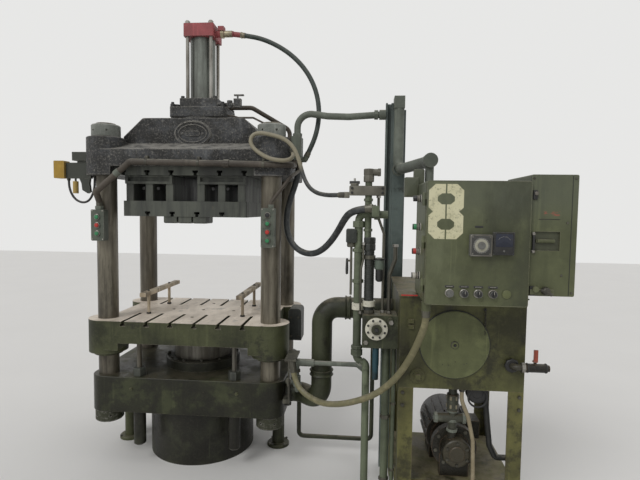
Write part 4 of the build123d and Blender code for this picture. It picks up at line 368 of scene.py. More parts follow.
def pumpLayers(paint, colour):
    # grey-green suction pipe above, rusty oiled cap in front
    pipe = paint.step(paint.z, .60, .64)
    colour = paint.mix(pipe * .85, colour, (.135, .145, .105))
    cap = paint.step(paint.y, -.972, -.976) * paint.step(paint.z, .60, .57)
    rust = paint.mix(paint.noise(20, 7, .7), (.070, .062, .036), (.150, .130, .080))
    return paint.mix(cap, colour, rust)


def blockLayers(paint, colour):
    # the small cylinder under the block is blue
    return paint.mix(paint.step(paint.z, 1.0505, 1.0495), colour, (.018, .058, .076))


def switchLayers(paint, colour):
    # ochre shell to the left, dark bracket beside it and a brass end below
    bracket = paint.step(paint.x, -.9135, -.9115)
    colour = paint.mix(bracket, colour, (.050, .054, .044))
    brass = paint.step((paint.x + .848).size(), .0215, .0200) * paint.step(paint.z, 2.028, 2.024)
    return paint.mix(brass, colour, (.40, .28, .085))


def valveLayers(paint, colour):
    # blackened grip to the right of the tank, worn metal nearer to it
    grip = paint.step(paint.x, 2.094, 2.098)
    return paint.mix(grip * .9, colour, (.014, .014, .013))


# bars and machined parts: bright steel, its stains, oil and rust, then how rusty, rough and metallic it is
steelTerms = ("bright", "stain", "oil", "rust", "rusty", "rough", "metal")
steels = {
    "column": ((.205, .185, .14), (.072, .06, .042), (.022, .019, .013), (.15, .095, .05), .5, .27, .42),
    "ram": ((.2, .19, .16), (.08, .07, .05), (.035, .03, .022), (.14, .09, .05), .5, .27, .42),
    "tooling": ((.092, .098, .08), (.048, .052, .044), (.024, .025, .023), (.13, .09, .055), .45, .4, .35),
    "tube": ((.215, .23, .205), (.115, .125, .108), (.07, .07, .062), (.16, .12, .08), .25, .27, .65),
    "bright": ((.44, .43, .4), (.22, .2, .17), (.1, .09, .07), (.2, .13, .07), .4, .24, .85),
    "bar": ((.6, .51, .37), (.33, .26, .17), (.09, .07, .05), (.25, .15, .08), .7, .5, .25),
    "brass": ((.4, .35, .23), (.22, .2, .14), (.1, .09, .07), (.24, .24, .19), .5, .4, .55),
    "black": ((.034, .034, .032), (.018, .018, .017), (.01, .01, .01), (.09, .06, .04), .35, .4, .2),
    "valve": ((.13, .125, .095), (.055, .05, .038), (.022, .02, .016), (.12, .085, .05), .5, .36, .4),
}


def plasticOf(name, colour, rough=.35):
    # moulded cap: slightly uneven colour, dirt in patches
    paint = Paint(name)
    dirt = paint.patch(.50, .72, 60, 6, .7)
    mixed = paint.mix(dirt * .5, colour, (.05, .045, .035))
    return paint.finish(mixed, (rough + dirt * .3).limited(), relief=paint.noise(300, 2), depth=.0002)


def rubberOf(name, colour, pale, top=None):
    # aged hose: dusty cover with a fine woven print; above the height top it is bleached
    paint = Paint(name)
    worn = paint.patch(.45, .70, 24, 6, .65)
    mixed = paint.mix(worn * .7, colour, pale)
    if top:
        height, bleached = top
        old = paint.step(paint.z, height - .05, height + .03)
        mixed = paint.mix(old, mixed, bleached)
        mixed = paint.mix(paint.patch(.55, .72, 70, 7, .7, shift=9) * .5, mixed, colour)
    dust = paint.step(paint.up, .2, .9) * paint.patch(.36, .62, 30, 5)
    mixed = paint.mix(dust * .5, mixed, (.24, .22, .18))
    weave = paint.noise(420, 2, .5)
    return paint.finish(mixed, (.55 + worn * .15).limited(), relief=weave, depth=.0005)


# parts that take another part's paint: which one, the layer on top of it, and the values that differ
layers = {
    "nut": ("nut", nutLayers, {}),
    # the table's pale dust also lightens its top: partly painted light
    "table": ("casting", tableLayers, {"dust": (.68, .60, .50), "dusty": .35, "grease": .44, "caked": .02,
                                       "rims": .15}),
    "door": ("cabinet", doorLayers, {}),
    "cabinetShell": ("cabinet", cabinetLayers, {}),
    "sideCabinet": ("cabinet", sideLayers, {}),
    "riser": ("post", None, {"paint": (.128, .150, .095), "shade": (.055, .065, .042)}),
    "screwPipe": ("post", None, {"paint": (.034, .038, .033), "shade": (.018, .020, .018)}),
    "manifold": ("duct", None, {"paint": (.190, .180, .145), "shade": (.085, .080, .064)}),
    "bowl": ("duct", None, {"paint": (.165, .205, .160), "shade": (.090, .110, .088)}),
    "pumpBody": ("pump", pumpLayers, {}),
    "switch": ("station", switchLayers, {"paint": (.42, .27, .045), "shade": (.30, .18, .03)}),
    "drainValve": ("pump", valveLayers, {"paint": (.135, .130, .095), "shade": (.06, .055, .04)}),
    "block": ("tank", blockLayers, {"paint": (.080, .090, .048), "shade": (.040, .045, .026)}),
    "redLever": ("station", None, {"paint": (.26, .055, .030), "shade": (.12, .03, .02)}),
    "redCap": ("station", None, {"paint": (.33, .075, .080), "shade": (.24, .060, .062), "grease": .3}),
    "guard": ("station", None, {"paint": (.050, .054, .050), "shade": (.028, .030, .027)}),
    "conduit": ("duct", None, {"paint": (.090, .076, .060), "shade": (.046, .038, .030)}),
}
paints = {name: {**dict(zip(paintTerms, row)), **coarse.get(name, {})} for name, row in paints.items()}
made = {name: oldPaint(name + "Paint", values) for name, values in paints.items()}
for name, (base, extra, changes) in layers.items():
    made[name] = oldPaint(name + "Paint", {**paints[base], **changes}, extra)
paint = SimpleNamespace(**made)
steel = SimpleNamespace(**{name: smearedSteel(name + "Steel", dict(zip(steelTerms, row)))
                           for name, row in steels.items()})
plastics = {
    "red": ((.46, .030, .022), .35), "green": ((.030, .22, .085), .35), "black": ((.016, .016, .016), .35),
    "white": ((.50, .48, .42), .35), "cream": ((.60, .58, .48), .45), "grey": ((.13, .13, .12), .5),
    "ivory": ((.34, .33, .26), .45),
}
plastic = SimpleNamespace(**{name: plasticOf(name + "Plastic", *row) for name, row in plastics.items()})
plastic.window = plasticOf("meterWindow", (.010, .014, .030), .10)
plastic.dial = plasticOf("dialFace", (.040, .040, .036), .3)
# each hose's cover, where it is rubbed pale, and above which height it has bleached
rubbers = {
    "headHose": ((.020, .030, .024), (.075, .088, .078)),
    "loopHose": ((.026, .030, .031), (.095, .100, .098)),
    "valveHose": ((.030, .033, .033), (.095, .095, .088), (2.12, (.25, .225, .155))),
    "cabinetHose": ((.150, .138, .070), (.27, .24, .135)),
    "cable": ((.020, .020, .020), (.07, .068, .062)),
    "line": ((.24, .20, .125), (.36, .31, .21)),
    "seal": ((.012, .013, .011), (.03, .03, .026)),
}
rubber = SimpleNamespace(**{name: rubberOf(name + "Rubber", *row) for name, row in rubbers.items()})


# the CAD nodes keep their meshes and take these materials

finishes = [
    (paint.bolster, "bottom_bolster"), (paint.pot, "main_cylinder cylinder_gland rod_cylinders"),
    (paint.casting, "press_feet guide_bushings"), (paint.nut, "column_nuts"), (paint.table, "moving_table"),
    (paint.guard, "table_guard"), (paint.head, "head_casting top_cylinder_flange"),
    (paint.redCap, "top_cylinder_cap"), (paint.cover, "tank_cover"), (paint.leg, "stand_frame"),
    (paint.station, "control_station_left control_station_right head_junction"),
    (paint.tank, "tank_body tank_top tank_floor"), (paint.pumpBody, "pump"), (paint.pump, "motor"),
    (paint.cabinetShell, "control_cabinet"), (paint.door, "cabinet_door"), (paint.sideCabinet, "side_cabinet"),
    (paint.drainValve, "drain_valve"), (paint.redLever, "drain_lever"), (paint.post, "standpipe"),
    (paint.duct, "return_pipe pressure_pipe cross_pipe"), (paint.pipe, "main_pipe drain_pipe"),
    (paint.block, "valve_block"), (paint.riser, "riser_pipes"), (paint.switch, "switch_box"),
    (paint.conduit, "head_conduits"), (steel.ram, "main_ram pullback_rods"), (steel.column, "columns"),
    (steel.bar, "ejector_bar_left ejector_bar_right"), (steel.tube, "top_cylinder_tube"),
    (steel.tooling, "rod_glands upper_bolster spacer_rails spacer_bars die_plate die_clamps"),
    (steel.bright, "top_tie_rods"), (steel.valve, "side_valve"), (plastic.grey, "door_devices"),
    (plastic.black, "station_buttons cabinet_buttons"),
]
for finish, names in finishes:
    for name in names.split():
        slots = nodes[name].data.materials
        if not slots:
            slots.append(finish)
        for index in range(len(slots)):
            slots[index] = finish
print("materials on the nodes")


# hoses: each one a spline through fixed points that replaces its node

hoses = {
    "head_hose": {"size": .034, "length": 1.266, "stiffness": "stiff", "cover": "headHose", "route": [
        (.305, -.04, 3.13), (.401, -.049, 3.114), (.493, -.059, 3.084), (.58, -.071, 3.041),
        (.661, -.085, 2.988), (.733, -.1, 2.925), (.796, -.116, 2.852), (.846, -.133, 2.77),
        (.882, -.151, 2.681), (.902, -.169, 2.587), (.906, -.187, 2.492), (.894, -.204, 2.396),
        (.866, -.218, 2.304), (.825, -.23, 2.216)]},
    "loop_hose": {"size": .042, "length": 1.542, "stiffness": "stiff", "cover": "loopHose", "route": [
        (.768, -.215, 2.183), (.768, -.215, 2.099), (.745, -.222, 2.014), (.719, -.232, 1.932),
        (.698, -.244, 1.85), (.689, -.259, 1.766), (.7, -.277, 1.682), (.734, -.305, 1.609),
        (.791, -.346, 1.56), (.859, -.395, 1.541), (.924, -.449, 1.552), (.979, -.504, 1.588),
        (1.024, -.56, 1.636), (1.062, -.616, 1.689), (1.094, -.69, 1.742), (1.12, -.768, 1.787),
        (1.15, -.84, 1.824), (1.205, -.893, 1.846), (1.28, -.912, 1.854)]},
    "valve_hose": {"size": .027, "length": 1.406, "stiffness": "medium", "cover": "valveHose", "route": [
        (.754, -.43, 2.229), (.766, -.463, 2.201), (.754, -.495, 2.171), (.717, -.516, 2.158),
        (.672, -.524, 2.16), (.627, -.523, 2.169), (.588, -.519, 2.184), (.552, -.512, 2.205),
        (.522, -.504, 2.226), (.499, -.497, 2.25), (.484, -.493, 2.278), (.486, -.489, 2.309),
        (.505, -.487, 2.332), (.537, -.486, 2.341), (.578, -.486, 2.338), (.619, -.487, 2.329),
        (.664, -.49, 2.318), (.706, -.495, 2.301), (.743, -.5, 2.275), (.773, -.505, 2.241),
        (.794, -.509, 2.2), (.81, -.512, 2.158), (.823, -.518, 2.114), (.837, -.527, 2.071),
        (.853, -.542, 2.032), (.874, -.565, 1.998), (.898, -.595, 1.973), (.925, -.628, 1.955),
        (.952, -.662, 1.943), (.98, -.698, 1.936), (1.009, -.734, 1.931), (1.039, -.769, 1.929),
        (1.071, -.802, 1.929), (1.106, -.828, 1.929)]},
    "cabinet_hose": {"size": .036, "length": 1.442, "stiffness": "stiff", "cover": "cabinetHose", "route": [
        (1.554, -1.2, 1.3403), (1.554, -1.2, 1.278), (1.538, -1.182, 1.218), (1.521, -1.161, 1.161),
        (1.503, -1.136, 1.106), (1.483, -1.108, 1.053), (1.46, -1.08, 1.001), (1.434, -1.052, .951),
        (1.403, -1.024, .903), (1.368, -.997, .859), (1.328, -.97, .818), (1.283, -.944, .782),
        (1.233, -.92, .752), (1.182, -.894, .725), (1.131, -.865, .702), (1.083, -.83, .682),
        (1.039, -.788, .664), (.999, -.742, .65), (.958, -.694, .643), (.915, -.648, .644),
        (.867, -.612, .659), (.826, -.581, .694), (.798, -.56, .745), (.788, -.552, .804)]},
    "switch_cable": {"size": .016, "length": .467, "stiffness": "medium", "cover": "cable", "route": [
        (-.9, -.3, 2.0447), (-.9, -.3, 2.003), (-.892, -.3, 1.96), (-.874, -.299, 1.92),
        (-.845, -.299, 1.889), (-.806, -.299, 1.872), (-.764, -.302, 1.876), (-.731, -.308, 1.902),
        (-.71, -.313, 1.939), (-.696, -.318, 1.979), (-.692, -.32, 2.023), (-.692, -.32, 2.0647)]},
}


def addHose(node, finish, values):
    size = values["size"]
    curve = bpy.data.curves.new(node + "Spline", "CURVE")
    curve.dimensions = "3D"
    curve.bevel_depth = size / 2
    curve.bevel_resolution = 6
    curve.resolution_u = 8
    curve.use_fill_caps = True
    line = curve.splines.new("NURBS")
    places = np.array(values["route"])
    line.points.add(len(places) - 1)
    line.points.foreach_set("co", np.column_stack([places, np.ones(len(places))]).ravel())
    line.order_u = 3
    line.use_endpoint_u = True
    curve.materials.append(finish)
    hose = bpy.data.objects.new(node + "Flex", curve)
    bpy.context.scene.collection.objects.link(hose)
    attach(hose, "root")
    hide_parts(node)


for node, values in hoses.items():
    addHose(node, getattr(rubber, values["cover"]), values)
print("hoses:", len(hoses))


# small shapes: sizes are millimetres, as on the part's drawing, and become metres here

front = np.array([(1, 0, 0), (0, 0, 1), (0, -1, 0)], float)
leftSide = np.array([(0, 1, 0), (0, 0, 1), (-1, 0, 0)], float)
upright = np.array([(1, 0, 0), (0, 1, 0), (0, 0, 1)], float)
sharpAngle = 34  # degrees between two faces, past which their edge stays sharp


def facing(heading):
    # three axes of a piece that looks along heading: across, up, outward
    out = np.array(heading, float)
    out /= np.linalg.norm(out)
    across = np.cross((0, 0, 1) if abs(out[2]) < .9 else (0, 1, 0), out)
    across /= np.linalg.norm(across)
    return np.array([across, np.cross(out, across), out])


rightSide = facing((1, 0, 0))


def spread(count, shift=0.0):
    # angles round a circle; shift is a share of one step
    return 2 * pi * (np.arange(count) + shift) / count


def gridFaces(rows, columns):
    # quads between neighbouring points of a grid whose last column joins its first
    row = np.arange(rows - 1)[:, None]
    column = np.arange(columns)[None, :]
    after = (column + 1) % columns
    corners = (row * columns + column, row * columns + after,
               (row + 1) * columns + after, (row + 1) * columns + column)
    return np.stack(np.broadcast_arrays(*corners), -1).reshape(-1, 4)


def addPiece(name, points, finish, body):
    # points: copies x rows x columns x 3 in millimetres; doubles merge, so poles and closed profiles seal
    copies, rows, columns = points.shape[:3]
    step = (np.arange(copies) * rows * columns)[:, None, None]
    faces = (gridFaces(rows, columns)[None] + step).reshape(-1, 4)
    mesh = bpy.data.meshes.new(name)
    mesh.from_pydata((points.reshape(-1, 3) / 1000).tolist(), [], faces.tolist())
    work = bmesh.new()
    work.from_mesh(mesh)
    bmesh.ops.remove_doubles(work, verts=work.verts, dist=1e-5)
    bmesh.ops.recalc_face_normals(work, faces=work.faces)
    for face in work.faces:
        face.smooth = True
    work.to_mesh(mesh)
    work.free()
    mesh.set_sharp_from_angle(angle=radians(sharpAngle))
    mesh.materials.append(finish)
    piece = bpy.data.objects.new(name, mesh)
    bpy.context.scene.collection.objects.link(piece)
    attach(piece, body)
    return piece


def turned(name, profile, places, axes, finish, sides=24, body="root"):
    # places: one or more; each point is the place, plus the profile's radius times cosine and sine of the angle
    # along across and up, plus its height along outward
    outline = np.array(profile, float)
    angles = spread(sides)
    ring = np.cos(angles)[:, None] * axes[0] + np.sin(angles)[:, None] * axes[1]
    shape = outline[:, 0, None, None] * ring[None] + outline[:, 1, None, None] * axes[2]
    points = np.array(places, float).reshape(-1, 1, 1, 3) + shape[None]
    return addPiece(name, points, finish, body)


def plates(name, size, places, axes, finish, corner=3.0, edge=1.0, body="root"):
    # a rounded rectangle, its corner circles set in from its sides, carried outward over a rounded edge to
    # its middle
    width, height, thick = size
    angles = spread(24, .5)
    inset = np.array([0, 0, edge * .3, edge])[:, None]
    level = np.array([0, thick - edge, thick - edge * .3, thick])
    radius = corner - np.minimum(inset, corner * .9)
    across = np.sign(np.cos(angles)) * (width / 2 - corner) + radius * np.cos(angles)
    up = np.sign(np.sin(angles)) * (height / 2 - corner) + radius * np.sin(angles)
    shape = across[..., None] * axes[0] + up[..., None] * axes[1] + level[:, None, None] * axes[2]
    back, middle = (np.broadcast_to(height * axes[2], (1, 24, 3)) for height in (0, thick))
    shape = np.concatenate([back, shape, middle])
    points = np.array(places, float).reshape(-1, 1, 1, 3) + shape[None]
    return addPiece(name, points, finish, body)


def tubeLoop(name, routes, radius, finish, sides=8, body="root", closed=True):
    # routes: copies x steps x 3; a circle is carried along each route, square to the line between the
    # points before and after
    route = np.array(routes, float)
    if closed:
        heading = np.roll(route, -1, 1) - np.roll(route, 1, 1)
    else:
        heading = np.gradient(route, axis=1)
    heading /= np.linalg.norm(heading, axis=2, keepdims=True)
    flat = np.ptp(route, axis=(0, 1)).argmin()
    side = np.cross(heading, np.eye(3)[flat])
    side /= np.linalg.norm(side, axis=2, keepdims=True)
    up = np.cross(heading, side)
    angles = spread(sides)
    ring = np.cos(angles)[:, None] * side[:, :, None] + np.sin(angles)[:, None] * up[:, :, None]
    points = route[:, :, None] + radius * ring
    if closed:
        points = np.concatenate([points, points[:, :1]], 1)
    else:
        start = np.broadcast_to(route[:, :1, None], points[:, :1].shape)
        end = np.broadcast_to(route[:, -1:, None], points[:, :1].shape)
        points = np.concatenate([start, points, end], 1)
    return addPiece(name, points, finish, body)


def oval(centre, half, axes, angles):
    # ellipse: half width times cosine across, half height times sine up
    return (np.array(centre, float) + half[0] * np.cos(angles)[:, None] * axes[0]
            + half[1] * np.sin(angles)[:, None] * axes[1])


def frameLine(centre, half, corner, axes, steps=48):
    # closed rounded rectangle through corner circles
    angles = spread(steps, .5)
    across = np.sign(np.cos(angles)) * (half[0] - corner) + corner * np.cos(angles)
    up = np.sign(np.sin(angles)) * (half[1] - corner) + corner * np.sin(angles)
    return np.array(centre, float) + across[:, None] * axes[0] + up[:, None] * axes[1]


def bent(corners, bend, steps=6):
    # straight runs joined by arcs: at each corner the points turn about the bend's centre, from one tangent
    # point to the other
    corners = np.array(corners, float)
    route = [corners[:1]]
    for before, corner, after in zip(corners[:-2], corners[1:-1], corners[2:]):
        inward = (before - corner) / np.linalg.norm(before - corner)
        onward = (after - corner) / np.linalg.norm(after - corner)
        half = np.arccos(np.clip(inward @ onward, -1, 1)) / 2
        back = bend / np.tan(half)
        bisector = (inward + onward) / np.linalg.norm(inward + onward)
        centre = corner + bisector * bend / np.sin(half)
        start = corner + inward * back - centre
        square = -inward * bend
        angles = np.linspace(0, pi - 2 * half, steps)[:, None]
        route.append(centre + np.cos(angles) * start + np.sin(angles) * square)
    route.append(corners[-1:])
    return np.concatenate(route)


def cornersOf(halfX, halfY):
    return [(x, y) for x in (-halfX, halfX) for y in (-halfY, halfY)]


def solid(*outline):
    # profile without a bore: the outline, closed to the axis below and above
    top = [(0, outline[-1][1])] if outline[-1][0] else []
    return [(0, outline[0][1]), *outline, *top]


def bored(*outline):
    # closed profile round a bore
    return [*outline, outline[0]]


def hexHead(size, height):
    # profile of a bolt head on its washer, with a chamfered top
    return solid((size * .68, 0), (size * .68, 1.5), (size * .55, 1.5), (size * .55, height - 1.5),
                 (size * .48, height))


def sleeve(bore, outer, length):
    # profile of a ferrule with rounded ends round a hose
    return bored((bore, 0), (outer - 1.5, 0), (outer, 1.5), (outer, length - 1.5), (outer - 1.5, length),
                 (bore, length))


def rod(name, places, radius, length, heading, finish, sides=24, edge=1.5, body="root"):
    # round bar with softened ends
    profile = solid((radius - edge, 0), (radius, edge), (radius, length - edge), (radius - edge, length))
    return turned(name, profile, places, facing(heading), finish, sides, body)


def addAll(make, pieces, body="root"):
    # pieces: each one's name, and what make takes after it
    for name, row in pieces.items():
        make(name, *row, body=body)


# head: blank plaque rims, flange nuts, ring, rail screws of the tooling

headDetail = {"plaque": (0, -239, 2377), "rims": ((126, 84), (103, 62)), "bead": 4.0, "studX": 74,
              "flangeNuts": (190, 125, 2587), "blockNuts": (122, 100, 2655), "ringZ": 2655.3,
              "railScrewX": (196, 300, 404), "railScrews": (-371, 1976)}


def addHeadDetail(values):
    x, y, z = values["plaque"]
    for number, half in enumerate(values["rims"]):
        tubeLoop("plaqueRim%d" % number, [oval((x, y, z), half, front, spread(64))], values["bead"], paint.head)
    plates("plaqueBand", (110, 40, 5), (x, y, z), front, paint.head, 18, 2.5)
    studs = [(side * values["studX"], y, z) for side in (-1, 1)]
    flange, block = ([(*corner, height) for corner in cornersOf(halfX, halfY)]
                     for halfX, halfY, height in (values["flangeNuts"], values["blockNuts"]))
    rails = [(side * x, *values["railScrews"]) for side in (-1, 1) for x in values["railScrewX"]]
    socket = bored((4.5, 2), (4.5, 7), (9.5, 7), (10.5, 6), (10.5, 0), (0, 0), (0, 2))
    addAll(turned, {
        "plaqueStuds": (solid((9, -2), (8, 3), (4, 5), (0, 5.5)), studs, front, paint.head, 16),
        "flangeNuts": (hexHead(34, 24), flange, upright, steel.black, 6),
        "flangeStuds": (solid((11, 0), (11, 36), (9, 38)), flange, upright, steel.black, 12),
        "blockNuts": (hexHead(26, 18), block, upright, steel.black, 6),
        "ringBead": (bored((93, 0), (104, 0), (100, 7), (93, 9)), (0, 0, values["ringZ"]), upright,
                     paint.head, 40),
        "railScrews": (socket, rails, front, steel.black, 18)})


addHeadDetail(headDetail)


# push-button stations on the columns: each one's place, the reach of its screws and its caps from the top down

stations = {"faceY": -465.3, "centreZ": 1716, "pitch": 57, "screwX": 37,
            "sides": ((-595, 98, ("green", "red", "green")), (595, 123, ("black", "green", "red", "green")))}


def addStations(values):
    face, centre = values["faceY"], values["centreZ"]
    caps, screws = {}, []
    for x, reach, colours in values["sides"]:
        for index, colour in enumerate(colours):
            z = centre + ((len(colours) - 1) / 2 - index) * values["pitch"]
            caps.setdefault(colour, []).append((x, face, z))
        screws += [(x + dx, face, centre + dz) for dx, dz in cornersOf(values["screwX"], reach)]
    ring = bored((14.6, 2), (14.6, 9), (17, 10.5), (19.6, 9), (19.6, 0), (14.6, 0))
    cap = solid((14.2, 0), (14.2, 13), (13, 15.3), (9, 16.6), (0, 17))
    for colour, places in caps.items():
        turned(colour + "ButtonCaps", cap, places, front, getattr(plastic, colour), 28)
    addAll(turned, {
        "buttonRings": (ring, sum(caps.values(), []), front, steel.bright, 28),
        "stationScrews": (solid((5, 0), (4.6, 2), (2.5, 3), (0, 3.2)), screws, front, steel.bright, 14),
        "stationHubs": (sleeve(10, 29, 24), (-595, -434, 1825), upright, paint.duct, 8),
        "stationHub": (sleeve(8, 19, 22), (612, -434, 1850), upright, paint.duct, 8)})


addStations(stations)


# couplings and straps of the head conduits; the long one sinks by slope from its left end

conduit = {"straps": (-240, 120, 560), "startX": -345, "startZ": 2150, "y": -488, "slope": .01546,
           "along": (1, 0, -.0155), "rising": (.773, 0, .634)}


def addConduitDetail(values):
    along = facing(values["along"])
    addAll(turned, {
        "conduitCoupling": (sleeve(20, 24, 40), (-452, values["y"], 2062), facing(values["rising"]),
                            paint.duct, 20),
        "conduitUnion": (sleeve(20, 27, 40), (300, values["y"], 2140), along, paint.conduit, 8),
        "conduitNut": (sleeve(20, 25, 22), (-595, -434, 1850), upright, steel.valve, 6)})
    for number, x in enumerate(values["straps"]):
        z = values["startZ"] - (x - values["startX"]) * values["slope"]
        turned("conduitStrap%d" % number, sleeve(20.5, 23.5, 18), (x, values["y"], z), along, steel.valve, 24)
        plates("strapFoot%d" % number, (20, 26, 23), (x + 9, -463, z + 30), front, steel.valve, 3, 2)


addConduitDetail(conduit)


# sleeves and nuts at the hose ends: where the end is, which way it leaves along the hose, and the hose's size

hoseEnds = {
    "headHoseTop": ((305, -40, 3130), (.986, -.092, -.165), 34),
    "headHoseLow": ((825, -230, 2216), (.42, .12, .90), 34),
    "loopHoseTop": ((768, -215, 2183), (0, 0, -1), 42),
    "loopHoseLow": ((1280, -912, 1854), (-.97, .21, -.10), 42),
    "valveHoseTop": ((754, -430, 2229), (.25, -.70, -.60), 27),
    "valveHoseLow": ((1106, -828, 1929), (-.80, .60, 0), 27),
    "cabinetHoseTop": ((1554, -1200, 1340.3), (0, 0, -1), 36),
    "cabinetHoseLow": ((788, -552, 804), (.16, -.13, -.98), 36),
    "switchCableTop": ((-900, -300, 2044.7), (0, 0, -1), 16),
    "switchCableLow": ((-692, -320, 2064.7), (0, 0, -1), 16),
}


def addHoseEnds(ends):
    for name, (place, heading, size) in ends.items():
        axes = facing(heading)
        bore = size / 2 - 1
        finish = steel.brass if name == "headHoseTop" else steel.valve
        turned(name + "Crimp", sleeve(bore, size / 2 + 3, size * .95), place, axes, finish, 24)
        start = np.array(place) - axes[2] * 4
        turned(name + "Nut", sleeve(bore * .8, size / 2 + 6, 14), start, axes, finish, 6)


addHoseEnds(hoseEnds)
addAll(turned, {
    "capPortNut": (sleeve(20, 31, 24), (150, -40, 3140), rightSide, steel.brass, 6),
    "capPortSleeve": (sleeve(20, 23.5, 62), (176, -40, 3140), rightSide, steel.brass, 24)})
print("press dressed")


# control cabinet: timer, meter, knobs, legends, side buttons, latches, edge strips

cabinetDetail = {"timer": (1789, -1306.5, 1682), "meter": (1893, -1310.4, 1692), "knobs": (1720, 1787, 1856),
                 "lamp": 1651, "plug": 1921, "doorFace": -1280.3, "knobZ": 1447, "sideX": 1530.7, "sideY": -1080,
                 "sideCaps": {"black": 1907, "green": 1759, "red": 1631, "white": 1503}, "sideFace": -1262.4,
                 "door": ((1777.5, -1279.6, 1687.8), (243, 299.6), 10)}


def addTimer(x, y, z):
    under = (x, y - 1, z)
    screws = [(x + dx, y, z + dz) for dx, dz in cornersOf(40, 40)]
    ticks = oval((x, y - 3.6, z), (35.5, 35.5), front, spread(24))
    tubeLoop("timerBezel", [frameLine((x, y, z), (49, 49), 8, front)], 2.4, steel.bright, body="door")
    addAll(plates, {
        "timerFace": ((88, 88, 1.5), (x, y, z), front, plastic.dial, 5, .6),
        "timerPointer": ((4, 30, 1), (x, y - 10.4, z + 2), front, plastic.black, 1.5, .4)}, "door")
    addAll(turned, {
        "timerRing": (solid((37, 0), (37, 2.4), (35, 3)), under, front, plastic.grey, 40),
        "timerDial": (solid((31, 0), (31, 3.6), (29, 4.4), (0, 4.6)), under, front, plastic.ivory, 40),
        "timerTicks": (solid((1.3, 0), (1.3, .8)), ticks, front, plastic.white, 6),
        "timerKnob": (solid((19, 0), (18, 8.4), (15, 9.6)), under, front, paint.cover, 12),
        "timerScrews": (solid((4, 0), (3.4, 2.4), (0, 2.8)), screws, front, steel.bright, 12)}, "door")


def addMeter(x, y, z):
    marks = oval((x, y - 2.5, z + 2), (32, 32), front, np.linspace(.62, pi - .62, 15))
    tubeLoop("meterRim", [frameLine((x, y - 1, z), (43, 50), 8, front)], 2.4, plastic.black, body="door")
    addAll(plates, {
        "meterShell": ((94, 108, 1.6), (x, y, z), front, plastic.black, 6, .8),
        "meterWindow": ((80, 62, 1.6), (x, y - 1, z + 16), front, plastic.window, 8, .8)}, "door")
    addAll(turned, {
        "meterMarks": (solid((.9, 0), (.9, .6)), marks, front, plastic.white, 6),
        "meterScrew": (solid((5, 0), (4, 3), (0, 3.5)), (x, y - 1, z - 34), front, plastic.grey, 16)}, "door")


def addKnobs(values):
    y, z, lamp = values["doorFace"], values["knobZ"], values["lamp"]
    knobs = values["knobs"]
    places = [(x, y, z) for x in (*knobs, lamp)]
    legends = [(x, y - 2, z + 32) for x in (*knobs, lamp)]
    addAll(turned, {
        "knobRings": (solid((22, 0), (22, 3), (20, 6), (18, 7)), places, front, steel.bright, 28),
        "knobGrips": (solid((17.6, 5), (17.2, 20), (15, 26), (12, 27.2), (0, 27.4)), places[:-1], front,
                      plastic.black, 18),
        "lampLens": (solid((17.6, 5), (17.4, 18), (13, 26.8), (7, 28), (0, 28.4)), places[-1:], front,
                     plastic.grey, 28),
        "blankPlug": (solid((21, 0), (21, 4.5), (18, 6.4), (0, 6.8)), (values["plug"], y, z), front, paint.cover,
                      28)}, "door")
    addAll(plates, {
        "knobBars": ((7, 30, 5), [(x, y - 27, z + 2) for x in knobs], front, plastic.black, 3, 1.5),
        "knobLines": ((1.6, 14, .8), [(x, y - 32, z + 8) for x in knobs], front, plastic.white, .7, .3),
        "legendPlates": ((42, 9, 1.2), legends, front, plastic.black, 1.5, .4),
        "legendLines": ((30, 1.4, .5), [(a, b - 1, c) for a, b, c in legends], front, plastic.white, .5, .2),
        "noticePlate": ((38, 9, 1.5), (1782, y, 1770), front, plastic.black, 1.5, .5)}, "door")


def addSideButtons(values):
    places = [(values["sideX"], values["sideY"], z) for z in values["sideCaps"].values()]
    collar = solid((21, 0), (21, 4), (19, 5), (19, 11), (15.5, 12))
    addAll(turned, {
        "sideCollars": (collar, places, leftSide, plastic.white, 10),
        "sideRings": (solid((17, 10), (17, 20), (15.5, 22)), places, leftSide, steel.bright, 24)})
    dome = solid((15.6, 20), (15.6, 36), (14, 40), (8, 42.3), (0, 42.6))
    for place, name in zip(places, values["sideCaps"]):
        turned("sideCap" + name, dome, place, leftSide, getattr(plastic, name), 24)


def addLatches(y):
    arm = [(2075, -1292, 1474), (2092, -1296, 1470), (2108, -1298, 1462), (2124, -1298, 1452)]
    seam = [(2062 + 98 * t, y, 1810) for t in np.linspace(0, 1, 8)]
    fold = [(2213, y, 1446 + 570 * t) for t in np.linspace(0, 1, 12)]
    tubeLoop("lowLatchArm", [arm], 8, steel.valve, 12, closed=False)
    tubeLoop("sideSeam", [seam], 1.4, rubber.seal, 6, closed=False)
    tubeLoop("sideFold", [fold], 1.6, rubber.seal, 6, closed=False)
    screws = [(x, y, z) for x, z in ((2195, 1794), (2177, 1542), (2226, 2004), (2226, 1458), (2036, 2004))]
    addAll(plates, {
        "topLatch": ((20, 44, 9), (2041, y, 1925), front, steel.black, 4, 2),
        "sideGrip": ((11, 74, 14), (2040, y, 1698), front, steel.black, 4, 3),
        "lowLatch": ((26, 46, 12), (2043, y, 1466), front, steel.black, 4, 2)})
    addAll(turned, {
        "topLatchKnob": (solid((9, 6), (9, 15), (7, 17)), (2044, y, 1932), front, steel.bright, 18),
        "sideGripEnds": (solid((9, 0), (9, 9), (6, 12)), [(2040, y, z) for z in (1740, 1656)], front,
                         steel.bright, 16),
        "lowLatchBoss": (solid((20, 0), (20, 14), (16, 22), (10, 26)), (2099, -1278, 1470), front,
                         steel.valve, 24),
        "sideScrews": (solid((6, 0), (5, 2.6), (0, 3.4)), screws, front, steel.valve, 14)})


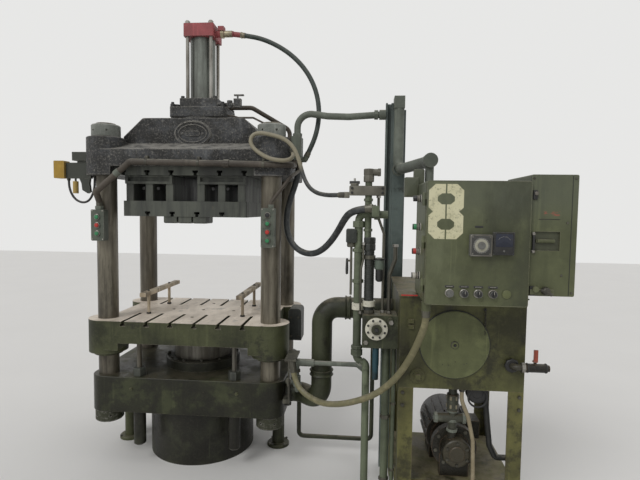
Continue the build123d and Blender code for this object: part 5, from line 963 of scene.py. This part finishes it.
addTimer(*cabinetDetail["timer"])
addMeter(*cabinetDetail["meter"])
addKnobs(cabinetDetail)
addSideButtons(cabinetDetail)
addLatches(cabinetDetail["sideFace"])
tubeLoop("doorRim", [frameLine(*cabinetDetail["door"], front, 96)], 2.2, paint.cabinetShell, body="door")
wallBox = {
    "wallBox": ((75, 108, 70), (1493.4, -878, 1973), front, paint.cabinetShell, 5, 3),
    "wallBoxHood": ((56, 82, 54), (1534, -886, 2031), front, paint.cabinetShell, 8, 4),
    "wallBoxLid": ((63, 94, 3), (1493.4, -948, 1973), front, paint.cabinetShell, 4, 1)}
addAll(plates, wallBox)
print("cabinet dressed")


# tank: cover gasket and hub, filler strip, plug washer, leg bolts, valve hardware, small chain

tankDetail = {"cover": (1732, 1126), "coverRadius": 183, "face": -1030.4, "valveY": -1075.3,
              "legBoltX": (1462, 2082), "legBoltZ": (40, 120, 268, 345, 780, 850),
              "dents": ((-62, -110), (-30, -112), (52, -104), (66, -98), (5, -92))}
chain = {"x": 1888, "y": -1041, "top": 1312, "pitch": 14.5, "links": 9}


def addTankDetail(values):
    x, z = values["cover"]
    y, far, radius = values["face"], values["valveY"], values["coverRadius"]
    middle = (x, y, z)
    dents = [(x + dx, y - 11.8, z + dz) for dx, dz in values["dents"]]
    bolts = [(a, y, b) for a in values["legBoltX"] for b in values["legBoltZ"]]
    gasket = bored((radius, -1), (radius + 5, -1), (radius + 5, 5), (radius, 6))
    lip = bored((radius - 7, 11), (radius - 7, 12.6), (radius - 4, 13), (radius - 2, 12))
    plates("fillerStrip", (88, 7, 3), (1486, -1037.2, 1388), front, plastic.red, 2, 1)
    addAll(turned, {
        "coverGasket": (gasket, middle, front, rubber.seal, 96),
        "coverEdge": (lip, middle, front, paint.cover, 96),
        "coverHub": (bored((9, 11), (21, 11), (21, 17), (18, 19), (9, 19)), middle, front, steel.valve, 28),
        "coverScrew": (hexHead(15, 12), (x, y - 14, z), front, steel.black, 6),
        "coverDents": (solid((3, 0), (2.4, 1.4), (0, 1.8)), dents, front, steel.valve, 10),
        "plugWasher": (bored((26, 0), (41, 0), (41, 6), (37, 9), (26, 9)), (1539, y, 946), front, paint.tank, 32),
        "legBolts": (hexHead(17, 10), bolts, front, steel.valve, 6),
        "valveFlange": (bored((18, 11), (38, 11), (38, 24), (33, 28), (18, 28)), (2031, y, 1028), front,
                        steel.black, 8),
        "valveUnion": (sleeve(16, 27, 20), (2070, far, 1028), rightSide, steel.bright, 8),
        "valveRings": (sleeve(20, 25.5, 9), [(2096, far, 1028), (2190, far, 1028)], rightSide, steel.black, 24)})
    turned("leverNut", hexHead(14, 9), (2140, far, 1067), upright, steel.black, 6, "lever")


def addChain(values):
    # flat ovals, every second one turned through a right angle, hanging down from a hook
    x, y, top = values["x"], values["y"], values["top"]
    for name, first, axes in (("chainOdd", 1, front), ("chainEven", 0, leftSide)):
        links = [oval((x, y, top - number * values["pitch"]), (5.0, 9.5), axes, spread(20))
                 for number in range(first, values["links"], 2)]
        tubeLoop(name, links, 1.7, steel.valve, 6)
    turned("chainHook", solid((8, 0), (8, 5), (0, 6)), (x, tankDetail["face"], top + 8), front, steel.black, 12)


addTankDetail(tankDetail)
addChain(chain)


# pump and motor: bolts, rings and pipe unions under the tank

suction = (1751, -935)
pumpDetail = {
    "capBolts": (hexHead(15, 9), oval((1775, -980.3, 490), (62, 62), front, spread(6, .5)), front,
                 steel.valve, 6),
    "capDisc": (solid((44, 0), (44, 4), (40, 7), (16, 8)), (1775, -979.5, 490), front, paint.pumpBody, 40),
    "bellBolts": (hexHead(20, 13), oval((1775, -890.3, 490), (108, 108), front, spread(8, .25)), front,
                  steel.valve, 6),
    "suctionUnions": (sleeve(23, 31, 16), [(*suction, z) for z in (604, 662, 716)], upright, paint.duct, 8),
    "suctionHex": (sleeve(23, 36, 22), [(*suction, z) for z in (742, 790)], upright, steel.brass, 6),
    "teeUnions": (sleeve(24, 31, 18), [(x, -935, 680) for x in (1650, 1806)], rightSide, paint.duct, 8),
    "teePlug": (hexHead(34, 16), (1817, -935, 680), rightSide, steel.brass, 6),
    "strainerRim": (bored((46, 0), (56, 0), (56, 5), (50, 7), (46, 5)), (1872, -999.5, 826), front,
                    steel.black, 36)}
addAll(turned, pumpDetail)


# risers between the press and the power unit; the plain node stays for collision

risers = {"y": -840, "lineX": 1206, "footX": 1262, "footZ": 955, "elbowZ": 1818, "elbowEnd": 1372, "screwX": 1271,
          "screwLow": 1241.4, "screwTop": 1686, "pitches": 131, "upperX": 1259, "upperTop": 2080, "bowlX": 1329,
          "manifold": (1178, 1981), "filter": (1165, 1694), "armX": 1141, "smallTop": 1050.6,
          "smallPipes": ((1378, 23), (1424, 12)), "radius": 22, "bend": 34, "thinBend": 30,
          "thinPipes": (([(1318, -818, 1922), (1318, -818, 1800), (1352, -818, 1710), (1352, -818, 1249)], 8),
                        ([(1388, -836, 1249), (1388, -836, 1470), (1420, -836, 1560), (1420, -836, 1640)], 12),
                        ([(1222, -868, 1249), (1222, -868, 1500), (1236, -868, 1560), (1236, -868, 1650)], 6))}
upward, rightward = (0, 0, 1), (1, 0, 0)


def addRisers(values):
    y, line, foot, base, elbow = (values[key] for key in ("y", "lineX", "footX", "footZ", "elbowZ"))
    corners = [(values["elbowEnd"], y, elbow), (line, y, elbow), (line, y, base), (foot, y, base), (foot, y, 0)]
    route = bent(corners, values["bend"])
    first = tubeLoop("firstRiser", [route], values["radius"], paint.riser, 24, closed=False)
    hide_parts("riser_pipes")
    for z in (base + 34, elbow - 76):
        union = solid((31, 0), (34, 3), (34, 35), (31, 38))
        turned("riserUnion%d" % z, union, (line, y, z), upright, paint.riser, 8)
    low, high = values["screwLow"], values["screwTop"]
    screwX, upperX, top = values["screwX"], values["upperX"], values["upperTop"]
    # ridges of the screwed pipe: a cosine four points long, carried up its height
    wave = 28.2 + .8 * np.cos(2 * pi * np.arange(values["pitches"]) / 4)
    ridges = zip(wave, low + np.linspace(26, high - low - 82, values["pitches"]))
    union = solid((31, 0), (34, 4), (34, 34), (31.5, 38), (34, 42), (34, 72), (31, 76))
    upper = [(radius - 4 if radius else 0, height) for radius, height in union]
    bowl = solid((22, 1499), (29, 1506), (30, 1512), (30, 1556), (27, 1566), (16, 1569))
    grip = solid((5, 0), (7.6, 6), (8.6, 30), (7.2, 70), (6, 88), (3.5, 94))
    addAll(turned, {
        "screwRiser": (solid((29, low), (29, low + 22), *ridges, (29, high - 76)), (screwX, y, 0), upright,
                       paint.screwPipe, 28),
        "screwUnion": (union, (screwX, y, high - 76), upright, paint.screwPipe, 8),
        "upperUnion": (upper, (upperX, y, top - 76), upright, paint.manifold, 8),
        "bowl": (bowl, (values["bowlX"], y, 0), upright, paint.bowl, 28),
        "bowlFoot": (solid((12, 1429), (20, 1436), (22, 1444), (22, 1500)), (values["bowlX"], y, 0), upright,
                     steel.black, 24),
        "filterHandle": (grip, (values["armX"], y, 1468), upright, steel.black, 18)})
    capX, capZ = values["manifold"]
    middle, height = values["filter"]
    addAll(rod, {
        "riserSleeve": ((line, y, base + 38), 24, elbow - base - 114, upward, paint.riser),
        "elbowUnion": ((1293, y, elbow), 30, 34, rightward, paint.riser, 8, 3),
        "lineBoss": ((foot, y, 812), 19, 50, (0, 1, 0), paint.duct),
        "upperPipe": ((upperX, y, high - 1), 20, top - high - 74, upward, paint.riser),
        "upperStub": ((upperX, y, top - 20), 20, 68, rightward, paint.manifold),
        "upperCap": ((upperX + 50, y, top - 20), 25, 18, rightward, paint.manifold, 6, 2),
        "manifoldCap": ((capX, y, capZ), 24, 15, upward, paint.manifold, 28, 3),
        "manifoldSpindle": ((capX, y, capZ + 11), 6, 34, upward, steel.bright, 12),
        "bowlPipe": ((1290, y, 1534), 7, 40, rightward, steel.valve, 14),
        "filterFoot": ((middle, y, height - 66), 26, 27, upward, steel.valve, 24, 4),
        "filterPipe": ((middle, y, height - 346), 7, 281, upward, steel.valve, 14),
        "filterStub": ((middle + 27, y, height), 16, 16, rightward, steel.valve),
        "filterArm": ((values["armX"], y, 1548), 6, 26, rightward, steel.valve, 14),
        "loopSocket": ((1282, -912, 1854), 18, 20, (.97, -.21, .10), steel.valve),
        "valveSocket": ((1104, -829, 1929), 17.5, 30, (.80, -.60, 0), steel.valve)})
    addAll(plates, {
        "manifoldBar": ((206, 55, 60), (1251, y + 30, 1954.5), front, paint.manifold, 7, 3),
        "manifoldHandle": ((60, 14, 16), (capX, y, capZ + 13), upright, steel.black, 5, 3),
        "filterBody": ((62, 80, 72), (middle, y + 36, height), front, paint.screwPipe, 9, 4),
        "loopBlock": ((40, 62, 112), (1298, y - 2, 1837), front, paint.riser, 8, 4),
        "valveStub": ((32, 35, 35), (1134, y + 17.5, 1929), front, paint.manifold, 6, 3)})
    for number, (route, radius) in enumerate(values["thinPipes"]):
        tubeLoop("thinPipe%d" % number, [bent(route, values["thinBend"])], radius, steel.valve, 14, closed=False)
        ends = [(a, b, c - 8) for a, b, c in (route[0], route[-1])]
        rod("thinPipeNuts%d" % number, ends, radius + 5, 16, upward, steel.bright, 6)
    for x, radius in values["smallPipes"]:
        rod("smallPipe%d" % x, (x, y, 0), radius, values["smallTop"], upward, paint.riser)


addRisers(risers)


# valve block: cream disc with black bolts, hub, ports; screws of the manifold

discX, discZ = 1317, 1168
valveBlock = {
    "blockDisc": (solid((64, 0), (64, 4), (61, 6), (36, 6), (34, 5)), (discX, -921.6, discZ), front,
                  plastic.cream, 48),
    "discBolts": (hexHead(11, 6), oval((discX, -927, discZ), (51, 51), front, spread(8, .5)), front,
                  steel.black, 6),
    "discHub": (solid((31, 16), (31, 19), (27, 23.6), (12, 24)), (discX, -920, discZ), front, steel.bright, 28),
    "hubNut": (hexHead(20, 12), (discX, -943, discZ), front, steel.black, 6),
    "blockPorts": (sleeve(.5, 15, 14), [(1400, -900.2, 1204), (1258, -900.2, 1085)], front, steel.bright, 6),
    "manifoldScrews": (hexHead(12, 7), [(x, -870.4, z) for x in (1164, 1338) for z in (1942, 1968)], front,
                       steel.black, 6)}
# unions on the risers: bore, size, length, where along x, levels, finish and sides
unions = {
    "screwUnions": (28, 35, 22, 1271, (1241.6, 1560), steel.valve, 8),
    "paleUnion": (28, 38, 34, 1271, (1284,), plastic.cream, 20),
    "riserUnions": (23, 33, 20, 1206, (1030, 1420, 1600), paint.riser, 8),
    "palePort": (23, 33, 40, 1206, (1262,), plastic.cream, 20),
    "upperUnions": (19, 26, 16, 1259, (1720, 1894), paint.riser, 8),
    "smallUnions": (22, 30, 22, 1378, (240, 620), steel.valve, 6),
    "thinUnions": (11, 17, 16, 1424, (300, 700), steel.valve, 6),
    "bowlBand": (29, 33, 10, 1329, (1556,), steel.black, 28)}
addAll(turned, valveBlock)
for name, (bore, outer, length, x, levels, finish, sides) in unions.items():
    turned(name, sleeve(bore, outer, length), [(x, risers["y"], z) for z in levels], upright, finish, sides)


# lines and strainer under the tank: too small for the plain model

lines = {"thinY": -1000, "thickY": -930, "top": 887.7, "shelf": 320.3, "strainer": (1872, -958, 850),
         "thinRadius": 11, "thinBend": 110, "thickRadius": 16, "thickBend": 24}


def addLines(values):
    y, far, top, shelf = values["thinY"], values["thickY"], values["top"], values["shelf"]
    thin = [(1786, y, top), (1786, y, 809), (1825, y, 713), (1853, y, 583), (1859, y, 395), (1859, y, shelf)]
    thick = [(1926, far, top), (1926, far, 840), (1944, far, 671), (1961, far, 529), (1994, far, 462),
             (2094.7, far, 462)]
    thin, thick = bent(thin, values["thinBend"], 8), bent(thick, values["thickBend"], 8)
    tubeLoop("thinLine", [thin], values["thinRadius"], rubber.line, 18, closed=False)
    tubeLoop("thickLine", [thick], values["thickRadius"], rubber.seal, 20, closed=False)
    addAll(rod, {
        "thinNuts": ([(1786, y, top - 30), (1859, y, shelf)], 16, 30, upward, steel.valve, 6, 2),
        "thickNut": ((1926, far, top - 32), 22, 32, upward, steel.valve, 6, 2),
        "thickEnd": ((2060, far, 462), 21, 34, rightward, steel.valve, 6, 2)})
    cap = solid((60, 0), (60, 30), (57, 37), (50, 41), (30, 42), (28, 39))
    turned("strainerCap", cap, values["strainer"], front, steel.black, 48)


addLines(lines)
print("power unit dressed")


# big pipe: flange and bolts at the press, coupling bands; unions of the pipes to it and over it

band = bored((70, 0), (80, 0), (83, 4), (80, 9), (76, 14), (76, 26), (80, 31), (83, 36), (80, 40), (70, 40))
pipeDetail = {
    "portFlange": (sleeve(70, 104, 24), (700.6, -225, 517), rightSide, paint.pipe, 48),
    "portBolts": (hexHead(20, 13), oval((724, -225, 517), (88, 88), rightSide, spread(8, .5)), rightSide,
                  steel.valve, 6),
    "pipeBandLow": (band, (963, -370, 700), upright, paint.pipe, 48),
    "pipeBandTop": (band, (1120, -370, 1175), rightSide, paint.pipe, 48),
    "standpipeUnion": (sleeve(33, 44, 28), (1462, -330, 2120), facing((0, -1, 0)), paint.duct, 8),
    "crossUnion": (sleeve(22, 33, 26), (1296, -240, 2503), rightSide, paint.duct, 8),
    "crossCollar": (sleeve(22, 33, 22), (762, -250, 2352), upright, paint.duct, 8),
    "lineUnions": (sleeve(15, 23, 22), [(805, -472, 690), (805, -472, 745)], upright, steel.valve, 6)}
addAll(turned, pipeDetail)


# feet and casting, then the bolts and collars that ride on the table

footBolts = [(side * 600 + dx, dy, 22) for side in (-1, 1) for dx, dy in cornersOf(56, 56)]
barPosts = [(side * 358, y) for side in (-1, 1) for y in (-190, 195)]
pressDetail = {
    "footBolts": (hexHead(16, 10), footBolts, upright, steel.valve, 6),
    "castingPlugs": (hexHead(20, 8), [(x, -438.3, 560) for x in (-380, 380)], front, paint.casting, 6)}
tableDetail = {
    "guardBolts": (hexHead(16, 9), [(x, -130.4, z) for x in (712, 766) for z in (898, 1040)], front,
                   steel.valve, 6),
    "barBolts": (hexHead(15, 7), [(*post, 1221) for post in barPosts], upright, steel.black, 6),
    "postCollars": (sleeve(10.6, 17, 12), [(*post, 1047.2) for post in barPosts], upright, steel.black, 20)}
addAll(turned, pressDetail)
addAll(turned, tableDetail, "table")
print("detail done")


# floor; the backdrop is the sky colour set in the world

def addStage(values):
    half = values["floorSize"] / 2
    corners = np.array([(-half, -half, 0), (half, -half, 0), (half, half, 0), (-half, half, 0)])
    mesh = bpy.data.meshes.new("studioFloor")
    mesh.from_pydata(corners.tolist(), [], [(0, 1, 2, 3)])
    ground = Paint("floorPlain")
    cloudy = ground.mix(ground.noise(1.1, 4), values["floorColour"], values["floorClouds"])
    mesh.materials.append(ground.finish(cloudy, .75))
    floor = bpy.data.objects.new("studioFloor", mesh)
    bpy.context.scene.collection.objects.link(floor)


addStage(studio)
